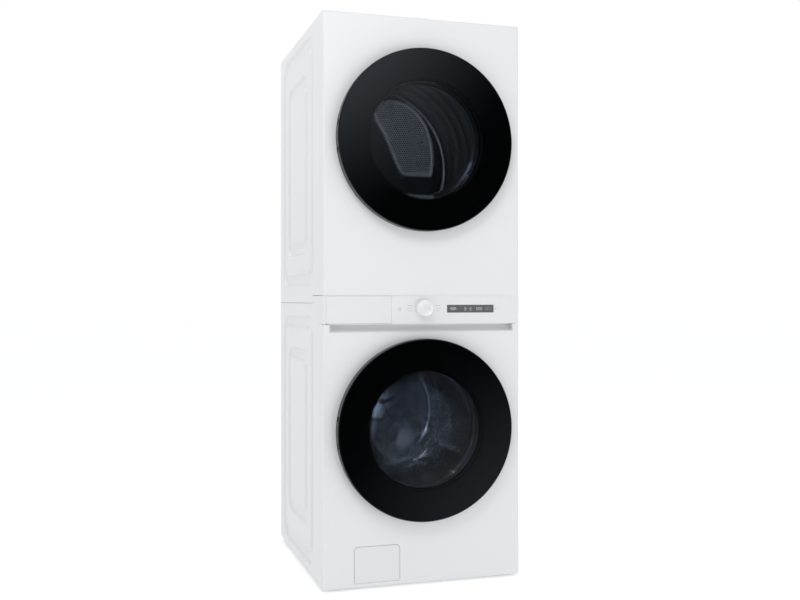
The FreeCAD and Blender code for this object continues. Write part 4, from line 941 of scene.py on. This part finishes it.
def display_signs():
    """Light plain signs on the display strip: bars, rings, boxes and dots."""
    middle = (STRIP_LOW.z + STRIP_HIGH.z) / 2
    left = STRIP_LOW.x
    face = STRIP_LOW.y - FRONT
    parts = [mark(left + 0.022, middle + 0.0035, 0.020, 0.0014, face=face),
             mark(left + 0.022, middle, 0.024, 0.0014, face=face),
             mark(left + 0.022, middle - 0.0035, 0.016, 0.0014, face=face)]
    for offset in (0.066, 0.084):
        parts.append(ring_mark(left + offset, middle + 0.0008, 0.0034, 0.0009, face=face))
        parts.append(mark(left + offset, middle + 0.0022, 0.0009, 0.0030, face=face))
        parts.append(mark(left + offset, middle - 0.0058, 0.0060, 0.0010, face=face))
    for digit in range(3):
        place = left + 0.108 + 0.0075 * digit
        parts.append(mark(place - 0.0024, middle, 0.0009, 0.0088, face=face))
        parts.append(mark(place + 0.0024, middle, 0.0009, 0.0088, face=face))
        for rise in (-0.0044, 0.0044):
            parts.append(mark(place, middle + rise, 0.0048, 0.0009, face=face))
    for step in range(4):
        parts.append(mark(left + 0.140 + 0.0055 * step, middle + 0.0030, 0.0018, 0.0018, face=face))
        parts.append(mark(left + 0.140 + 0.0055 * step, middle - 0.0030, 0.0030, 0.0009, face=face))
    return build("display_signs", *joined(parts), "cabinet", "frame_plastic", "print_light", 20)


def key_signs():
    """Generic power sign and start triangle beside the keys."""
    power = centre_of("power_key")
    start = centre_of("start_key")
    front_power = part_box("power_key")[0].y - FRONT
    front_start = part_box("start_key")[0].y - FRONT
    broken_ring = ring_mark(power.x, power.z, 0.0026, 0.0006, face=front_power, span=(0.10, 0.90))
    stem = mark(power.x, power.z + 0.0022, 0.0006, 0.0026, face=front_power)
    shape = joined([broken_ring, stem])
    sign = build("power_sign", *shape, "power_button", "frame_plastic", "print_grey", 20)
    triangle = ((-0.0016, 0.0024), (-0.0016, -0.0024), (0.0026, 0.0))
    points = [at(start.x + x, front_start + depth, start.z + z)
              for depth in (-0.0002, 0.0001) for x, z in triangle]
    faces = [(0, 1, 2), (0, 3, 4, 1), (1, 4, 5, 2), (2, 5, 3, 0)]
    build("start_sign", points, faces, "start_button", "frame_plastic", "print_grey", 20)
    return sign


display_signs()
key_signs()


def strip(xs, zs, depths, bevel=0.0004):
    """Long bar with eased front edges."""
    points = []
    for depth, inset in ((depths[1], 0.0), (depths[0] + bevel, 0.0), (depths[0], bevel)):
        for x, z in ((xs[0] + inset, zs[0] + inset), (xs[1] - inset, zs[0] + inset),
                     (xs[1] - inset, zs[1] - inset), (xs[0] + inset, zs[1] - inset)):
            points.append(at(x, depth, z))
    return points, [(3, 2, 1, 0), (8, 9, 10, 11)] + loop_faces(3, 4)


def seam_backings():
    """White strips behind the seams of the console and the drawer front."""
    panel_low, panel_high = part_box("console_panel")
    front_low, front_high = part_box("drawer_front")
    depths = (0.0014, 0.0024)
    behind = 0.0012
    wide = 0.0030
    heights = (front_low.z + 0.004, front_high.z)
    parts = [strip((panel_low.x + 0.004, panel_high.x - 0.004), (panel_high.z - 0.004, panel_high.z + 0.0045),
                   (0.0012, 0.0020)),
             strip((front_high.x - behind, front_high.x + wide), heights, depths),
             strip((front_low.x - wide, front_low.x + behind), heights, depths)]
    return build("seam_backings", *joined(parts), "cabinet", "white_plastic", "white_moulding", 30)


seam_backings()


# ---------------------------------------------------------------- back: louvres, transit caps and seam strip

def louvre(middle_x, z, depth, width=0.090, height=0.0075, rise=0.0042):
    """Pressed slot with a rounded hood that opens downwards."""
    along = 22
    across = 6
    points = []
    for i in range(along + 1):
        s = 2 * i / along - 1
        ends = math.sqrt(max(1 - s ** 6, 0.0))
        for j in range(across + 1):
            t = j / across
            lift = rise * ends * math.sin(math.pi * (0.18 + 0.64 * (1 - t))) * (1 - t ** 3)
            points.append(at(middle_x + s * width / 2, depth + lift, z + height * (t - 0.5)))
    row = across + 1
    faces = [(i * row + j, i * row + j + 1, (i + 1) * row + j + 1, (i + 1) * row + j)
             for i in range(along) for j in range(across)]
    return points, faces


def cover_depth(x, z):
    """Depth of the rear covers' outer face at a place."""
    place = cad_nodes["rear_covers"].ray_cast(Vector((x, 2.0, z)), Vector((0, -1, 0)))[1]
    return place.y - FRONT


def rear_louvres():
    """Three columns of louvres on the dryer's rear cover and two on the washer's."""
    dryer = cover_depth(0.10, DRYER_AXIS.z) - 0.0002
    washer = cover_depth(0.02, WASHER_AXIS.z) - 0.0002
    pitch = 0.0170
    parts = [louvre(x, DRYER_AXIS.z + 0.200 - pitch * row, dryer)
             for x in (-0.150, 0.0, 0.150) for row in range(9)]
    parts += [louvre(x, WASHER_AXIS.z + 0.215 - pitch * row, washer)
              for x in (-0.075, 0.075) for row in range(4)]
    return build("rear_louvres", *joined(parts), "cabinet", "galvanised_steel", "zinc_sheet", 30)


def transit_caps():
    """Four plastic caps over the washer's transit bolt holes."""
    profile = [(0.0, 0.0052), (0.0050, 0.0052), (0.0062, 0.0036), (0.0100, 0.0036), (0.0112, 0.0050),
               (0.0150, 0.0046), (0.0175, 0.0030), (0.0182, 0.0), (0.0, 0.0)]
    face = cover_depth(0.02, WASHER_AXIS.z)
    caps = [lathed([(radius, face + rise) for radius, rise in profile], Vector((x, 0, WASHER_AXIS.z + z)), 40)
            for x in (-0.180, 0.180) for z in (-0.150, 0.110)]
    return build("transit_caps", *joined(caps), "cabinet", "tub_plastic", "tub_moulding", 30)


def rear_seam():
    """Folded strip that closes the seam between the two rear covers."""
    low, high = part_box("rear_covers")
    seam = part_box("dryer_cabinet")[0].z
    face = cover_depth(0.0, seam + 0.020)
    shape = strip((low.x + 0.002, high.x - 0.002), (seam - 0.008, seam + 0.008),
                  (face - 0.0020, face - 0.0028))
    return build("rear_seam", *shape, "cabinet", "galvanised_steel", "zinc_sheet", 30)


rear_louvres()
transit_caps()
rear_seam()


# ---------------------------------------------------------------- studio

def area_light(name, place, aim, size, power, colour=(1, 1, 1)):
    light = bpy.data.lights.new(name, "AREA")
    light.shape = "RECTANGLE"
    light.size, light.size_y = size
    light.energy = power
    light.color = colour
    thing = bpy.data.objects.new(name, light)
    thing.location = place
    thing.rotation_euler = (Vector(aim) - Vector(place)).to_track_quat("-Z", "Y").to_euler()
    thing.visible_camera = False
    bpy.context.scene.collection.objects.link(thing)
    return thing


AMBIENT = 0.755
FRONT_SHINE = 0.35
REAR_SHINE = 0.95
SOFTBOXES = [((0.15, -0.93, 0.335), (0.962, 0.990), 1.05), ((0.42, -0.87, -0.26), (0.972, 0.9985), 0.52)]
DARK_CARD = ((0.313, -0.948, 0.0), (0.925, 0.955))


def studio_world():
    """White to the camera, soft light for the rest; shiny faces also see two softboxes and a dark card."""
    world = bpy.data.worlds.new("studio")
    bpy.context.scene.world = world
    world.use_nodes = True
    tree = world.node_tree
    tree.nodes.clear()

    def add(kind, inputs=(), output=0, **settings):
        made = tree.nodes.new(kind)
        for name, value in settings.items():
            setattr(made, name, value)
        for key, value in dict(inputs).items():
            if isinstance(value, bpy.types.NodeSocket):
                tree.links.new(value, made.inputs[key])
            else:
                made.inputs[key].default_value = value
        return made.outputs[output]

    towards = add("ShaderNodeTexCoord")

    def facing(direction, span, low, high):
        near = add("ShaderNodeVectorMath", {0: towards, 1: direction}, output=1, operation="DOT_PRODUCT")
        return add("ShaderNodeMapRange", {0: near, 1: span[0], 2: span[1], 3: low, 4: high})

    height = add("ShaderNodeSeparateXYZ", {0: towards}, output=2)
    fill = add("ShaderNodeMapRange", {0: height, 1: -0.2, 2: 0.8, 3: 0.5 * AMBIENT, 4: AMBIENT})
    depth = add("ShaderNodeSeparateXYZ", {0: towards}, output=1)
    around = add("ShaderNodeMapRange", {0: depth, 1: -0.4, 2: 0.5, 3: FRONT_SHINE, 4: REAR_SHINE})
    open_sky = facing(*DARK_CARD, 1.0, 0.03)
    shine = add("ShaderNodeMath", {0: around, 1: open_sky}, operation="MULTIPLY")
    for direction, span, power in SOFTBOXES:
        blob = facing(direction, span, 0.0, 1.0)
        soft = add("ShaderNodeMath", {0: blob, 1: 2.0}, operation="POWER")
        shine = add("ShaderNodeMath", {0: soft, 1: power, 2: shine}, operation="MULTIPLY_ADD")
    path = tree.nodes.new("ShaderNodeLightPath")
    strength = add("ShaderNodeMix", {0: path.outputs["Is Glossy Ray"], 2: fill, 3: shine}, data_type="FLOAT")
    soft_light = add("ShaderNodeBackground", {0: (0.97, 0.985, 1.0, 1.0), 1: strength})
    seen = add("ShaderNodeBackground", {0: (1, 1, 1, 1), 1: 1.0})
    both = add("ShaderNodeMixShader", {0: path.outputs["Is Camera Ray"], 1: soft_light, 2: seen})
    add_output = tree.nodes.new("ShaderNodeOutputWorld")
    tree.links.new(both, add_output.inputs[0])


FLOOR_GLOW = 0.36


def studio_floor():
    reach = 40.0
    mesh = bpy.data.meshes.new("floor")
    corners = [(-reach, -reach, 0), (reach, -reach, 0), (reach, reach, 0), (-reach, reach, 0)]
    mesh.from_pydata(corners, [], [(0, 1, 2, 3)])
    floor = bpy.data.objects.new("floor", mesh)
    bpy.context.scene.collection.objects.link(floor)
    s = Shader("pale_floor")
    tone = s.ramp(s.noise(s.coords(), 3.0, 3.0), close_greys(0.93, 0.01))
    dress(floor, s.done(tone, 0.6, None, Specular_IOR_Level=0.1, Emission_Color=(1, 1, 1, 1),
                        Emission_Strength=FLOOR_GLOW))
    floor.visible_glossy = False


CAMERA_TURN = math.radians(17.68)
CAMERA_PLACE = (-1.041, -3.548, 0.953)
CAMERA_LENS = 45.08


def camera():
    data = bpy.data.cameras.new("camera")
    data.lens = CAMERA_LENS
    data.sensor_width = 36.0
    data.shift_x = -0.0192
    data.shift_y = -0.0010
    thing = bpy.data.objects.new("camera", data)
    thing.location = CAMERA_PLACE
    thing.rotation_euler = (math.pi / 2, 0, -CAMERA_TURN)
    bpy.context.scene.collection.objects.link(thing)
    bpy.context.scene.camera = thing


studio_world()
studio_floor()
camera()
area_light("key", (-0.9, -2.1, 2.9), (-0.25, -0.375, 1.8), (0.9, 0.9), 14)
area_light("fill", (1.9, -2.5, 0.25), (0.2, -0.375, 0.3), (1.2, 0.8), 3)
area_light("side", (-2.0, 1.5, 3.2), (-0.343, 0.0, 1.4), (1.2, 1.2), 13)
area_light("front", (-1.1, -4.4, 1.0), (0.0, 0.0, 1.0), (0.5, 0.5), 8)
area_light("low", (1.0, -3.4, 0.30), (0.15, -0.375, 0.70), (0.6, 0.6), 6).visible_glossy = False
area_light("top", (0.0, 0.2, 4.4), (0.0, 0.0, 1.8), (2.0, 2.0), 6)
area_light("washer_drum_light", (-0.10, FRONT + 0.150, WASHER_AXIS.z + 0.19),
           (0.18, 0.10, WASHER_AXIS.z - 0.06), (0.05, 0.05), 0.15)
area_light("dryer_drum_light", (-0.10, FRONT + 0.110, DRYER_AXIS.z + 0.22),
           (0.10, 0.30, DRYER_AXIS.z), (0.05, 0.05), 0.35)
bpy.context.scene.view_settings.view_transform = "Standard"
